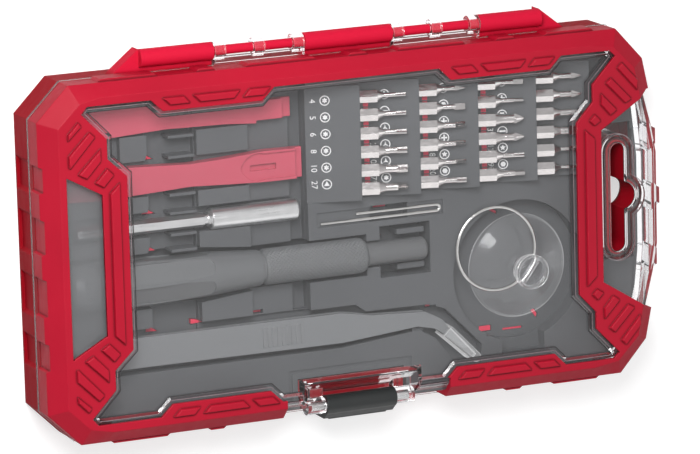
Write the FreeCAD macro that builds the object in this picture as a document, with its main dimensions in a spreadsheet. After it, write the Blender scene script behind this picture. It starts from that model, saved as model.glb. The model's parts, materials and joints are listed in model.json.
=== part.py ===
"""Precision screwdriver set in a hinged case, modelled in millimetres.

Frame: +X along the case, +Y towards the hinge, +Z out of the lid.
Origin: centre of the case's flat back face.
"""
import FreeCAD, Part
import math
import os
from FreeCAD import Placement, Rotation, Vector

# ---------------------------------------------------------------- driving dimensions
DIMENSIONS = [
    ("base_height", 12.0, "back face to parting plane"),
    ("lid_corner_height", 20.0, "back face to the lid's outer top edge"),
    ("case_height", 24.0, "back face to the top of the lid frame"),
    ("parting_gap", 0.05, "gap between base and lid"),
    ("base_floor", 2.0, "floor thickness of the base"),
    ("base_wall", 2.0, "wall thickness of the base"),
    ("ledge_width", 1.4, "inner ledge that carries the tray"),
    ("ledge_height", 10.3, "top of the tray ledge"),
    ("frame_wall", 2.1, "thickness of the lid frame at the sides"),
    ("frame_cover", 1.1, "thickness of the lid frame on top"),
    ("frame_gap", 0.05, "gap between lid frame and lid window"),
    ("pad_rise", 0.9, "height of the raised pads on the frame"),
    ("pad_slant", 0.75, "inset of a raised pad's top edge"),
    ("window_wall", 1.6, "wall thickness of the clear lid"),
    ("pane_recess", 0.6, "depth of the pane below its border"),
    ("flange_height", 1.0, "height of the clear lid's lower flange"),
    ("tray_top", 13.0, "top face of the tray"),
    ("tray_skin", 1.4, "wall thickness of the tray"),
    ("shelf_level", 10.0, "tray level that carries the flat tools"),
    ("finger_level", 7.6, "floor of the finger recesses"),
    ("hinge_y", 61.1, "hinge axis, from the case centre"),
    ("barrel_radius", 2.85, "hinge barrel"),
    ("rod_radius", 1.5, "hinge rod between the barrels"),
    ("running_gap", 0.05, "radial clearance of every turning fit"),
    ("latch_y", -54.1, "latch pivot, from the case centre"),
    ("latch_z", 19.5, "latch pivot above the back face"),
    ("latch_radius", 3.1, "latch barrel"),
    ("latch_start", -11.2, "left end of the latch"),
    ("latch_end", 12.6, "right end of the latch"),
    ("latch_pin_radius", 1.0, "latch pivot pin"),
    ("driver_y", -9.0, "driver axis, from the case centre"),
    ("driver_z", 12.0, "driver axis above the back face"),
    ("hex_flats", 4.0, "across flats of bits and extension"),
    ("socket_gap", 0.05, "clearance on each flat of a hex socket"),
    ("bit_length", 28.0, "length of one bit"),
    ("bit_tilt", 17.0, "rise of the bits in the rack, degrees"),
    ("bit_pitch_x", 20.4, "distance between bit columns"),
    ("bit_pitch_y", 5.9, "distance between bit rows"),
    ("bit_first_x", 4.4, "first column, where the bits leave their sockets"),
    ("bit_first_y", 12.9, "lowest row of bits"),
    ("bit_axis_z", 13.9, "bit axis where it leaves its socket"),
    ("bit_hidden", 12.0, "length of a bit inside its socket"),
    ("extension_y", 8.4, "extension axis, from the case centre"),
    ("extension_z", 12.0, "extension axis above the back face"),
    ("sleeve_radius", 3.4, "radius of the extension's sleeve"),
    ("cup_x", 62.3, "suction cup axis"),
    ("cup_y", -19.6, "suction cup axis"),
    ("ring_radius", 13.4, "suction cup ring, to the wire's centre"),
    ("ring_wire", 0.55, "wire radius of the ring"),
    ("ring_hole_z", 15.5, "height of the ring's hole in the knob"),
    ("ring_tilt", 3.5, "slope of the resting ring, degrees"),
    ("arm_thickness", 1.0, "thickness of a tweezer arm"),
    ("arm_level", 10.3, "underside of the lower tweezer arm"),
    ("arm_opening", 1.0, "angle between the tweezer arms, degrees"),
]

doc = FreeCAD.newDocument("precision_screwdriver_set")
sheet = doc.addObject("Spreadsheet::Sheet", "Dimensions")
for row, (alias, value, note) in enumerate(DIMENSIONS, start=1):
    sheet.set(f"A{row}", note)
    sheet.set(f"B{row}", str(value))
    sheet.setAlias(f"B{row}", alias)
doc.recompute()


def dim(alias):
    """Value of one driving dimension."""
    return float(sheet.get(alias))


def cell(alias):
    """Expression that refers to one driving dimension."""
    return f"Dimensions.{alias}"


# ---------------------------------------------------------------- outlines
# A loop is a list of (x, y) or (x, y, bulge) points, counter-clockwise; a bulge turns
# the edge that follows into an arc. A circle is a tuple ("circle", x, y, radius).

def circle(x, y, radius):
    return ("circle", x, y, radius)


def box_loop(x_low, x_high, y_low, y_high):
    return [(x_low, y_low), (x_high, y_low), (x_high, y_high), (x_low, y_high)]


def polygon(sides, circumradius, turn=0.0):
    step = 360.0 / sides
    angles = [math.radians(turn + index * step) for index in range(sides)]
    return [(circumradius * math.cos(a), circumradius * math.sin(a)) for a in angles]


def star(points, outer, inner, turn=90.0):
    """Star outline with alternating outer and inner corners."""
    corners = []
    for index in range(2 * points):
        radius = outer if index % 2 == 0 else inner
        angle = math.radians(turn + index * 180.0 / points)
        corners.append((radius * math.cos(angle), radius * math.sin(angle)))
    return corners


def slot_loop(x_centre, y_low, y_high, radius):
    """Upright slot with round ends, from y_low to y_high."""
    return [(x_centre + radius, y_low + radius), (x_centre + radius, y_high - radius, 1.0),
            (x_centre - radius, y_high - radius), (x_centre - radius, y_low + radius, 1.0)]


def grow(loop, distance):
    """Loop moved outwards by distance, with sharp corners; a negative distance shrinks it."""
    moved = []
    for index, point in enumerate(loop):
        before, after = loop[index - 1], loop[(index + 1) % len(loop)]
        first = Vector(point[0] - before[0], point[1] - before[1], 0).normalize()
        second = Vector(after[0] - point[0], after[1] - point[1], 0).normalize()
        normal_a, normal_b = Vector(first.y, -first.x, 0), Vector(second.y, -second.x, 0)
        middle = normal_a + normal_b
        scale = distance * 2.0 / middle.dot(middle)
        moved.append((point[0] + middle.x * scale, point[1] + middle.y * scale))
    return moved


def mirrored(loop):
    """Loop mirrored across the X axis, still counter-clockwise."""
    return [(point[0], -point[1]) for point in reversed(loop)]


def shifted(loop, dx):
    return [(point[0] + dx, point[1]) for point in loop]


def loop_edges(loop):
    """Sketch geometry of one loop."""
    if loop[0] == "circle":
        return [Part.Circle(Vector(loop[1], loop[2], 0), Vector(0, 0, 1), loop[3])]
    edges = []
    for index, start in enumerate(loop):
        end = loop[(index + 1) % len(loop)]
        first, last = Vector(start[0], start[1], 0), Vector(end[0], end[1], 0)
        if len(start) == 3 and abs(start[2]) > 1e-9:
            chord = last - first
            middle = (first + last) * 0.5 + Vector(chord.y, -chord.x, 0) * (start[2] / 2.0)
            edges.append(Part.Arc(first, middle, last))
        else:
            edges.append(Part.LineSegment(first, last))
    return edges


# ---------------------------------------------------------------- feature helpers

def new_body(name):
    body = doc.addObject("PartDesign::Body", name)
    body.Label = name
    body.AllowCompound = True
    return body


def add_sketch(body, name, loops, offset, plane="XY_Plane"):
    """Sketch of closed loops on one of the body's own planes, moved along its normal."""
    sketch = body.newObject("Sketcher::SketchObject", name)
    support = next(item for item in body.Origin.OriginFeatures if item.Role == plane)
    sketch.AttachmentSupport = [(support, "")]
    sketch.MapMode = "FlatFace"
    sketch.setExpression("AttachmentOffset.Base.z", str(offset))
    for loop in loops:
        sketch.addGeometry(loop_edges(loop), False)
    return sketch


def extrude(body, kind, name, loops, low, high, plane):
    profile = add_sketch(body, f"{name}_sketch", loops, low, plane)
    feature = body.newObject(f"PartDesign::{kind}", name)
    feature.Profile = profile
    feature.Reversed = kind == "Pocket"
    feature.setExpression("Length", f"({high}) - ({low})")
    return feature


def pad(body, name, loops, low, high, plane="XY_Plane"):
    """Add material between the levels low and high."""
    return extrude(body, "Pad", name, loops, low, high, plane)


def pocket(body, name, loops, low, high, plane="XY_Plane"):
    """Remove material between the levels low and high."""
    return extrude(body, "Pocket", name, loops, low, high, plane)


def loft(body, kind, name, lower, low, upper, high, plane="XY_Plane"):
    """Straight-sided transition between two loops with the same number of corners."""
    feature = body.newObject(f"PartDesign::{kind}Loft", name)
    feature.Profile = add_sketch(body, f"{name}_lower", [lower], low, plane)
    feature.Sections = [add_sketch(body, f"{name}_upper", [upper], high, plane)]
    feature.Ruled = True
    return feature


def turn(body, name, profile, kind="Revolution", plane="XY_Plane", axis="H_Axis"):
    """Turned feature from half a profile, about the sketch's horizontal or vertical axis."""
    sketch = add_sketch(body, f"{name}_sketch", [profile], 0, plane)
    feature = body.newObject(f"PartDesign::{kind}", name)
    feature.Profile = sketch
    feature.ReferenceAxis = (sketch, [axis])
    feature.Angle = 360
    return feature


def repeat_around(body, name, feature, count):
    """Repeat a feature evenly about the body's own X axis."""
    pattern = body.newObject("PartDesign::PolarPattern", name)
    pattern.Originals = [feature]
    support = next(item for item in body.Origin.OriginFeatures if item.Role == "X_Axis")
    pattern.Axis = (support, [""])
    pattern.Occurrences = count
    pattern.Angle = 360
    body.Tip = pattern


def place(body, x, y, z, rotation=Rotation()):
    body.Placement = Placement(Vector(x, y, z), rotation)


def hexagon(across_flats, turned=0.0):
    return polygon(6, across_flats / math.sqrt(3.0), turned)


# ---------------------------------------------------------------- case outlines
# Rear half of the case outline, from the left end to the right, then mirrored.
REAR_OUTLINE = [(107.0, 15.0), (105.3, 24.0), (104.6, 35.0), (102.3, 46.0), (93.0, 56.4),
                (83.0, 56.4), (-85.0, 56.4), (-93.4, 56.4), (-104.0, 45.8), (-104.0, 33.0)]
CASE_OUTLINE = REAR_OUTLINE + [(x, -y) for x, y in reversed(REAR_OUTLINE)]

# Top edge of the lid frame's bevel, corner for corner with the case outline.
REAR_TOP_EDGE = [(101.5, 15.0), (100.6, 24.0), (99.4, 34.4), (97.6, 43.8), (90.3, 51.2),
                 (82.0, 52.5), (-84.0, 52.5), (-91.3, 51.0), (-98.5, 44.0), (-98.5, 33.0)]
TOP_EDGE = REAR_TOP_EDGE + [(x, -y) for x, y in reversed(REAR_TOP_EDGE)]

# Opening of the lid frame over the clear window: rear half, right to left.
REAR_OPENING = [(76.8, 28.0), (82.6, 34.2), (82.6, 39.8), (90.8, 48.4), (88.8, 50.3),
                (71.6, 50.3), (67.6, 46.3), (33.2, 46.3), (29.2, 50.3),
                (-27.0, 50.1), (-31.0, 46.2), (-64.0, 46.2), (-68.0, 50.0), (-88.8, 50.0),
                (-90.8, 47.8), (-82.8, 39.4), (-82.8, 33.2), (-76.6, 27.3)]
OPENING = REAR_OPENING + [(x, -y) for x, y in reversed(REAR_OPENING)]
LATCH_GAP = [(-25.6, -70.0), (30.6, -70.0), (30.6, -49.5), (-25.6, -49.5)]
LEFT_WINDOW = [(-96.4, -28.5), (-84.8, -22.1), (-84.8, 22.2), (-96.4, 28.6)]
HANDLE_GAP = [(85.4, -24.8), (103.2, -36.0), (115.0, -36.0), (115.0, 36.0),
              (103.2, 36.0), (85.4, 24.8)]

# Hang hole: a slot with a half-round bulge on its right side.
HANG_X, HANG_LOW, HANG_HIGH, HANG_RADIUS = 91.2, -15.6, 20.2, 2.9
BULGE_X, BULGE_Y, BULGE_RADIUS = 93.2, 2.6, 4.6
HANG_TUBE_WALL, HANG_SLEEVE_WALL = 2.2, 0.7
# The clear collar swings off the sleeve with the lid, so it keeps a gap all round.
HANG_COLLAR_INSIDE, HANG_COLLAR_OUTSIDE = 1.45, 2.75
HANG_SLEEVE_TOP, HANG_COLLAR_LIP = 22.1, 22.3
HANG_RELIEF = (88.4, 103.6, -6.0, 8.8)
HANG_RELIEF_TOP, HANG_RELIEF_WALL = 8.8, 1.4
HANG_FLARE, HANG_FLARE_TOP = 1.4, 12.5


def hang_loops(margin):
    """Slot and bulge of the hang hole, both larger by margin."""
    slot = slot_loop(HANG_X, HANG_LOW - margin, HANG_HIGH + margin, HANG_RADIUS + margin)
    return slot, circle(BULGE_X, BULGE_Y, BULGE_RADIUS + margin)


def pad_hang_tube(body, name, margin, low, high):
    for number, loop in enumerate(hang_loops(margin)):
        pad(body, f"{name}_{number}", [loop], low, high)


def pocket_hang_hole(body, name, margin, low, high):
    for number, loop in enumerate(hang_loops(margin)):
        pocket(body, f"{name}_{number}", [loop], low, high)


# Hinge: three barrels on the base with two open groups between them for the lid's clips.
BARREL_ENDS = [(-66.9, -42.7), (-12.0, 17.8), (48.1, 69.8)]
ROD_ENDS = [(-42.8, -11.9), (17.7, 48.2)]
RAMP_LENGTH = 10.0
CLIP_WIDTH = 3.6
CLIP_STARTS = [0.4, 13.6, 26.8]


# ---------------------------------------------------------------- base shell
FRONT_WALL_Y, REAR_WALL_Y, LEFT_WALL_X = -56.0, 56.0, -104.0
LATCH_CATCH = box_loop(-8.0, 9.4, FRONT_WALL_Y - 1.3, FRONT_WALL_Y)
LATCH_SHELF = box_loop(-17.0, 18.6, -55.0, -46.9)
LATCH_SHELF_RECESS = box_loop(-15.4, 17.0, -53.6, -48.2)
BACK_GROOVES = [box_loop(-88.0, 82.0, -47.0, -46.0), box_loop(-88.0, 82.0, 46.0, 47.0)]
POST_X, POST_Y, POST_RADIUS = (-70.0, 5.0, 78.0), -48.0, 2.6


def build_base_shell():
    body = new_body("base_shell")
    wall, ledge = dim("base_wall"), dim("ledge_width")
    pad(body, "base_block", [CASE_OUTLINE], 0, cell("base_height"))
    pocket(body, "base_cavity", [grow(CASE_OUTLINE, -wall - ledge)],
           cell("base_floor"), cell("base_height"))
    pocket(body, "tray_seat", [grow(CASE_OUTLINE, -wall)],
           cell("ledge_height"), cell("base_height"))
    build_grip_recess(body)
    build_barrels(body)
    build_hang_tube(body)
    posts = [circle(x, POST_Y, POST_RADIUS) for x in POST_X]
    pad(body, "tray_posts", posts, 0, f"{cell('ledge_height')} - 0.05")
    pad(body, "latch_shelf", [LATCH_SHELF], 9.0, cell("base_height"))
    pocket(body, "latch_shelf_recess", [LATCH_SHELF_RECESS], 10.6, cell("base_height"))
    pad(body, "latch_catch", [LATCH_CATCH], 7.0, 9.0)
    pocket(body, "back_grooves", BACK_GROOVES, 0, 0.6)
    return body


def build_hang_tube(body):
    """Tube round the hang hole, its sleeve up into the lid, and a relief cut from the back."""
    x_low, x_high, y_low, y_high = HANG_RELIEF
    wall = HANG_RELIEF_WALL
    tub = box_loop(x_low - wall, x_high + wall, y_low - wall, y_high + wall)
    pad(body, "hang_tub", [tub], 0, HANG_RELIEF_TOP + wall)
    pad_hang_tube(body, "hang_tube", HANG_TUBE_WALL, 0, cell("base_height"))
    pad_hang_tube(body, "hang_sleeve", HANG_SLEEVE_WALL, 5.0, HANG_SLEEVE_TOP)
    pocket(body, "hang_relief", [box_loop(*HANG_RELIEF)], 0, HANG_RELIEF_TOP)
    pocket_hang_hole(body, "hang_hole", 0.0, 0, HANG_SLEEVE_TOP)
    loft(body, "Subtractive", "hang_flare", circle(BULGE_X, BULGE_Y, BULGE_RADIUS + HANG_FLARE),
         HANG_RELIEF_TOP - 0.01, circle(BULGE_X, BULGE_Y, BULGE_RADIUS), HANG_FLARE_TOP)


def build_grip_recess(body):
    """Shallow recess on the left side between three bumps."""
    depth, bump_half, bump_y, end_y, slant = 1.0, 3.0, 19.5, 33.0, 1.2
    edges = [-end_y, -bump_y - bump_half, -bump_y + bump_half, -bump_half, bump_half,
             bump_y - bump_half, bump_y + bump_half, end_y]
    recesses = []
    for low, high in zip(edges[0::2], edges[1::2]):
        recesses.append([(LEFT_WALL_X, low), (LEFT_WALL_X + depth, low + slant),
                         (LEFT_WALL_X + depth, high - slant), (LEFT_WALL_X, high)])
    pocket(body, "grip_recess", recesses, 1.0, cell("base_height"))


def build_barrels(body):
    """Hinge barrels with sloping outer ends, and the thin rods between them."""
    axis_y, axis_z = dim("hinge_y"), dim("base_height")
    radius = dim("barrel_radius")
    wall_y = REAR_WALL_Y
    web = [(wall_y, axis_z - 6.5), (axis_y + 1.2, axis_z - 2.6),
           (axis_y, axis_z), (wall_y, axis_z)]
    for number, (start, end) in enumerate(BARREL_ENDS):
        section = circle(axis_y, axis_z, radius)
        pad(body, f"barrel_{number}", [section], start, end, "YZ_Plane")
        pad(body, f"barrel_web_{number}", [web], start, end, "YZ_Plane")
    for number, (start, end) in enumerate(ROD_ENDS):
        pad(body, f"rod_{number}", [circle(axis_y, axis_z, dim("rod_radius"))], start, end,
            "YZ_Plane")
    left, right = BARREL_ENDS[0][0], BARREL_ENDS[-1][1]
    ramps = [[(left - RAMP_LENGTH, wall_y), (left, wall_y), (left, axis_y + radius)],
             [(right, wall_y), (right + RAMP_LENGTH, wall_y), (right, axis_y + radius)]]
    pad(body, "barrel_ramps", ramps, axis_z - 5.0, axis_z)


# ---------------------------------------------------------------- clear lid
WINDOW_TOP_GAP = 1.5
WINDOW_SHOULDER = f"{cell('lid_corner_height')} - 0.4"
LATCH_POCKET_TOP = box_loop(-19.7, 20.2, -62.0, -45.6)
LATCH_POCKET_FLOOR = box_loop(-13.0, 18.4, -62.0, -50.8)
LATCH_FLOOR_Z = 15.6


def window_outline(distance):
    """Case outline moved by distance, except along the clear handle side on the right."""
    moved = grow(CASE_OUTLINE, distance)
    count = len(CASE_OUTLINE)
    for corner in (0, 1):
        moved[corner] = CASE_OUTLINE[corner]
        moved[count - 1 - corner] = CASE_OUTLINE[count - 1 - corner]
    return moved


def build_lid_window():
    body = new_body("lid_window")
    wall = dim("window_wall")
    floor = f"{cell('base_height')} + {cell('parting_gap')}"
    flange_top = f"{floor} + {cell('flange_height')}"
    pad(body, "flange", [grow(CASE_OUTLINE, 0.3)], floor, flange_top)
    outer = window_outline(-dim("frame_wall"))
    top = f"{cell('case_height')} - {cell('frame_cover')}"
    pad(body, "shell_wall", [outer], flange_top, WINDOW_SHOULDER)
    loft(body, "Additive", "shell_bevel", outer, WINDOW_SHOULDER,
         grow(TOP_EDGE, -WINDOW_TOP_GAP), top)
    inner = grow(outer, -wall)
    inner_shoulder = f"{WINDOW_SHOULDER} - 0.8"
    pocket(body, "lid_cavity", [inner], floor, inner_shoulder)
    loft(body, "Subtractive", "cavity_bevel", inner, inner_shoulder,
         grow(TOP_EDGE, -WINDOW_TOP_GAP - 1.2), f"{top} - {wall}")
    build_latch_pocket(body, wall)
    build_pane_recess(body)
    rim_top = f"{cell('case_height')} + 0.2"
    pad_hang_tube(body, "hang_collar", HANG_COLLAR_OUTSIDE, floor, rim_top)
    pocket_hang_hole(body, "hang_collar_hole", HANG_COLLAR_INSIDE, floor, HANG_COLLAR_LIP)
    pocket_hang_hole(body, "hang_lip_hole", 0.0, floor, rim_top)
    build_handle_bumps(body, floor)
    build_hinge_clips(body, floor)
    build_latch_bosses(body)
    return body


def build_latch_pocket(body, wall):
    """Sunk pocket at the front edge that gives a finger room to lift the latch."""
    outer_floor = f"{LATCH_FLOOR_Z} - {wall}"
    top = f"{cell('case_height')} - {cell('frame_cover')}"
    front_low, front_high = -54.3, -51.3
    outer_low = [(x, max(y, front_low)) for x, y in grow(LATCH_POCKET_FLOOR, wall)]
    outer_high = [(x, max(y, front_high)) for x, y in grow(LATCH_POCKET_TOP, wall)]
    loft(body, "Additive", "latch_tub", outer_low, outer_floor, outer_high, f"{top} - 0.8")
    loft(body, "Subtractive", "latch_pocket", LATCH_POCKET_FLOOR, LATCH_FLOOR_Z,
         LATCH_POCKET_TOP, f"{top} + 0.01")


def build_pane_recess(body):
    """The pane sits a little below a sloping border that follows the frame's opening."""
    top = f"{cell('case_height')} - {cell('frame_cover')}"
    outer, inner = grow(OPENING, -1.0), grow(OPENING, -2.0)
    loft(body, "Subtractive", "pane_border", inner, f"{top} - {cell('pane_recess')}",
         outer, f"{top} + 0.01")


def build_handle_bumps(body, floor):
    """Three grip bumps on the clear side wall by the hang hole."""
    bumps = []
    root_half, crest_half, inside, proud = 4.6, 2.6, 2.0, 1.8
    for face, centre in ((105.4, -19.5), (106.6, 0.5), (105.4, 20.0)):
        bumps.append([(face - inside, centre - root_half), (face + proud, centre - crest_half),
                      (face + proud, centre + crest_half), (face - inside, centre + root_half)])
    pad(body, "handle_bumps", bumps, floor, f"{cell('lid_corner_height')} - 1.0")


def build_hinge_clips(body, floor):
    """Clips that snap over the hinge rods, joined to the lid by a bar along each group."""
    axis_y, axis_z = dim("hinge_y"), dim("base_height")
    clip_radius = dim("barrel_radius")
    low, ledge, top = axis_z + dim("parting_gap"), axis_z + 1.0, axis_z + 2.2
    bar = [(56.0, low), (59.3, low), (59.3, top), (57.5, top), (57.5, ledge), (56.0, ledge)]
    for group, (start, end) in enumerate(ROD_ENDS):
        pad(body, f"clip_bar_{group}", [bar], start + 0.4, end - 0.4, "YZ_Plane")
        for number, offset in enumerate(CLIP_STARTS):
            clip_start = start + offset
            pad(body, f"clip_{group}_{number}", [circle(axis_y, axis_z, clip_radius)],
                clip_start, clip_start + CLIP_WIDTH, "YZ_Plane")
        bore = dim("rod_radius") + dim("running_gap")
        mouth = box_loop(axis_y - bore * 0.8, axis_y + bore * 0.8, axis_z - clip_radius - 1, axis_z)
        pocket(body, f"clip_bore_{group}", [circle(axis_y, axis_z, bore)], start, end, "YZ_Plane")
        pocket(body, f"clip_mouth_{group}", [mouth], start, end, "YZ_Plane")


def build_latch_bosses(body):
    """Two bosses that hold the latch pin."""
    axis_y, axis_z = dim("latch_y"), dim("latch_z")
    side_gap = 0.3
    spans = [(-17.8, dim("latch_start") - side_gap), (dim("latch_end") + side_gap, 19.0)]
    for number, (start, end) in enumerate(spans):
        web = box_loop(axis_y, axis_y + 5.4, LATCH_FLOOR_Z - 0.5, axis_z - 0.6)
        pad(body, f"boss_web_{number}", [web], start, end, "YZ_Plane")
        pad(body, f"boss_{number}", [circle(axis_y, axis_z, 2.5)], start, end, "YZ_Plane")
    pocket(body, "boss_bore", [circle(axis_y, axis_z, dim("latch_pin_radius"))],
           -16.2, 17.4, "YZ_Plane")


# ---------------------------------------------------------------- lid frame
LEFT_CORNER_PADS = [
    [(-96.0, 38.9), (-90.4, 44.1), (-92.1, 46.2), (-96.0, 42.2)],
    [(-95.0, 30.8), (-86.0, 40.5), (-88.6, 42.8), (-96.0, 35.5), (-96.0, 31.4)],
    [(-89.8, 27.1), (-84.6, 32.6), (-84.6, 37.8), (-93.4, 29.2)],
    [(-84.4, 23.9), (-80.3, 28.2), (-83.2, 31.0), (-88.0, 26.1)],
]
RIGHT_CORNER_PADS = [
    [(98.6, 35.6), (99.0, 40.2), (93.0, 46.8), (90.5, 44.5)],
    [(93.8, 32.3), (97.0, 34.0), (89.0, 42.2), (86.3, 40.0)],
    [(88.5, 28.8), (91.7, 31.0), (85.0, 37.9), (84.8, 33.0)],
    [(82.8, 26.0), (86.0, 28.0), (83.0, 31.0), (80.4, 28.3)],
]
EDGE_PADS = [
    [(-62.0, 47.5), (-54.0, 47.5), (-57.0, 50.8), (-65.3, 50.8)],
    [(-52.0, 47.5), (-40.4, 47.5), (-37.4, 50.8), (-55.2, 50.8)],
    [(-38.6, 47.5), (-30.4, 47.5), (-27.2, 50.8), (-35.6, 50.8)],
]
BAND_BARS = [
    [(-83.0, -22.5), (-78.7, -26.6), (-78.7, 26.6), (-83.0, 22.7)],
    [(79.0, -26.6), (83.4, -22.5), (83.4, 22.7), (79.0, 26.6)],
]
EDGE_PAD_PITCH = 97.6
SIDE_PADS = [(-84.0, -63.0), (-51.5, -44.0), (-35.0, -10.0), (-0.5, 7.6), (16.4, 41.0),
             (50.6, 58.6), (67.6, 86.0)]
LEFT_NOTCHES = [(22.8, 33.0), (3.6, 16.6), (-15.9, -2.0), (-33.0, -22.2)]


def build_lid_frame():
    body = new_body("lid_frame")
    low = f"{cell('base_height')} + {cell('parting_gap')} * 2 + {cell('flange_height')}"
    pad(body, "frame_wall_block", [CASE_OUTLINE], low, cell("lid_corner_height"))
    loft(body, "Additive", "frame_bevel", CASE_OUTLINE, cell("lid_corner_height"),
         TOP_EDGE, cell("case_height"))
    wall_pads = []
    for start, end in SIDE_PADS:
        rear = [(start, REAR_WALL_Y), (end, REAR_WALL_Y),
                (end - 1.6, REAR_WALL_Y + 1.3), (start + 1.6, REAR_WALL_Y + 1.3)]
        wall_pads.append(rear)
        if end < LATCH_GAP[0][0] or start > LATCH_GAP[1][0]:
            wall_pads.append(mirrored(rear))
    pad(body, "wall_pads", wall_pads, low, f"{cell('lid_corner_height')} - 0.6")
    inner_low = f"{cell('base_height')} - 1"
    gap = dim("frame_gap")
    inside = window_outline(gap - dim("frame_wall"))
    shoulder = f"{WINDOW_SHOULDER} + {gap}"
    pocket(body, "frame_inside", [inside], inner_low, shoulder)
    loft(body, "Subtractive", "frame_under_bevel", inside, shoulder,
         grow(TOP_EDGE, gap - WINDOW_TOP_GAP),
         f"{cell('case_height')} - {cell('frame_cover')} + {gap}")
    raised = LEFT_CORNER_PADS + RIGHT_CORNER_PADS + EDGE_PADS
    raised = raised + [shifted(loop, EDGE_PAD_PITCH) for loop in EDGE_PADS]
    raised = raised + [mirrored(loop) for loop in raised] + BAND_BARS
    pads_low = f"{cell('case_height')} - 0.9"
    pads_high = f"{cell('case_height')} + {cell('pad_rise')}"
    for number, loop in enumerate(raised):
        loft(body, "Additive", f"raised_pad_{number}", loop, pads_low,
             grow(loop, -dim("pad_slant")), pads_high)
    above = f"{cell('case_height')} + 2"
    pocket(body, "main_opening", [OPENING], inner_low, above)
    pocket(body, "latch_opening", [LATCH_GAP], inner_low, above)
    pocket(body, "left_window", [LEFT_WINDOW], f"{cell('lid_corner_height')} + 0.5", above)
    pocket(body, "handle_opening", [HANDLE_GAP], inner_low, above)
    outside, bottom, slant = LEFT_WALL_X - 2.0, LEFT_WALL_X + 1.1, 1.4
    notches = [[(outside, start), (outside, end), (bottom, end - slant), (bottom, start + slant)]
               for start, end in LEFT_NOTCHES]
    pocket(body, "left_notches", notches, inner_low, f"{cell('case_height')} - 2.0")
    return body


# ---------------------------------------------------------------- latch and pin
def build_latch():
    body = new_body("latch")
    axis_y, axis_z, radius = dim("latch_y"), dim("latch_z"), dim("latch_radius")
    start, end = cell("latch_start"), cell("latch_end")
    pad(body, "latch_barrel", [circle(axis_y, axis_z, radius)], start, end, "YZ_Plane")
    outer = axis_y - radius - 1.6
    plate = [(outer, 5.6), (outer, axis_z - 1.0), (axis_y - 2.0, axis_z + 2.3),
             (axis_y - 1.0, axis_z - 2.4), (axis_y - radius - 0.4, axis_z - 3.2),
             (axis_y - radius - 0.4, 7.0), (-57.36, 6.4), (-57.36, 5.4),
             (axis_y - radius - 0.6, 3.6), (outer - 1.6, 3.6), (outer - 1.6, 4.4)]
    pad(body, "latch_plate", [plate], start, end, "YZ_Plane")
    ribs = []
    for level in range(7, 19, 2):
        ribs.append([(outer + 0.2, level), (outer - 0.5, level + 0.25),
                     (outer - 0.5, level + 0.75), (outer + 0.2, level + 1.0)])
    pad(body, "latch_ribs", ribs,
        f"{start} + 2", f"{end} - 2", "YZ_Plane")
    bore = dim("latch_pin_radius") + dim("running_gap")
    pocket(body, "latch_bore", [circle(axis_y, axis_z, bore)], start, end, "YZ_Plane")
    return body


def build_latch_pin():
    body = new_body("latch_pin")
    section = circle(dim("latch_y"), dim("latch_z"), dim("latch_pin_radius"))
    pad(body, "pin_rod", [section], -16.0, 17.2, "YZ_Plane")
    return body


# ---------------------------------------------------------------- driver
DRIVER_REAR, DRIVER_CAP_END, DRIVER_SHOULDER, DRIVER_TIP = -84.0, -93.6, 6.6, 27.6
CAP_PIN_END, CAP_PIN_RADIUS = DRIVER_REAR + 8.0, 1.5
NOSE_STEM_START, NOSE_STEM_RADIUS = -12.0, 2.5
SOCKET_DEPTH, MAGNET_LENGTH, MAGNET_RADIUS = 9.0, 3.0, 1.8


def build_driver_handle():
    body = new_body("driver_handle")
    profile = [(DRIVER_REAR, 0.0), (DRIVER_SHOULDER, 0.0), (DRIVER_SHOULDER, 4.9),
               (5.8, 5.45), (-28.3, 5.45), (-28.5, 5.0), (-29.3, 5.0), (-29.6, 5.7),
               (-48.0, 7.1), (-66.0, 7.8), (-82.6, 7.8), (DRIVER_REAR, 7.2)]
    turn(body, "handle_form", profile)
    flute = [(-90.0, -3.3), (-49.5, -3.3, 1.0), (-49.5, 3.3), (-90.0, 3.3)]
    repeat_around(body, "flutes", pocket(body, "flute", [flute], 6.55, 9.0), 6)
    pocket(body, "nose_bore", [circle(0, 0, NOSE_STEM_RADIUS)], NOSE_STEM_START,
           DRIVER_SHOULDER, "YZ_Plane")
    pocket(body, "cap_bore", [circle(0, 0, CAP_PIN_RADIUS)], DRIVER_REAR, CAP_PIN_END, "YZ_Plane")
    place(body, 0, dim("driver_y"), dim("driver_z"), Rotation(Vector(1, 0, 0), 30))
    return body


def build_driver_cap():
    body = new_body("driver_cap")
    gap = dim("running_gap")
    back = DRIVER_REAR - 0.2
    profile = [(DRIVER_CAP_END, 0.0), (back, 0.0), (back, 7.0), (back - 0.8, 7.6),
               (back - 6.0, 7.6), (back - 8.4, 6.6), (DRIVER_CAP_END, 4.6)]
    turn(body, "cap_form", profile)
    pocket(body, "cap_hole", [circle(0, 0, CAP_PIN_RADIUS + gap)], DRIVER_CAP_END, back,
           "YZ_Plane")
    pocket(body, "cap_counterbore", [circle(0, 0, 3.2)], DRIVER_CAP_END, DRIVER_CAP_END + 2.6,
           "YZ_Plane")
    grip = pocket(body, "cap_grip", [circle(0, 7.9, 0.7)], back - 6.0, back - 1.2, "YZ_Plane")
    repeat_around(body, "cap_grips", grip, 18)
    place(body, 0, dim("driver_y"), dim("driver_z"))
    return body


def build_driver_cap_pin():
    body = new_body("driver_cap_pin")
    head = DRIVER_CAP_END + 0.9
    profile = [(head, 0.0), (CAP_PIN_END, 0.0), (CAP_PIN_END, CAP_PIN_RADIUS),
               (head + 1.5, CAP_PIN_RADIUS), (head + 1.5, 2.6), (head + 0.4, 2.6), (head, 2.1)]
    turn(body, "cap_pin_form", profile)
    place(body, 0, dim("driver_y"), dim("driver_z"))
    return body


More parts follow.
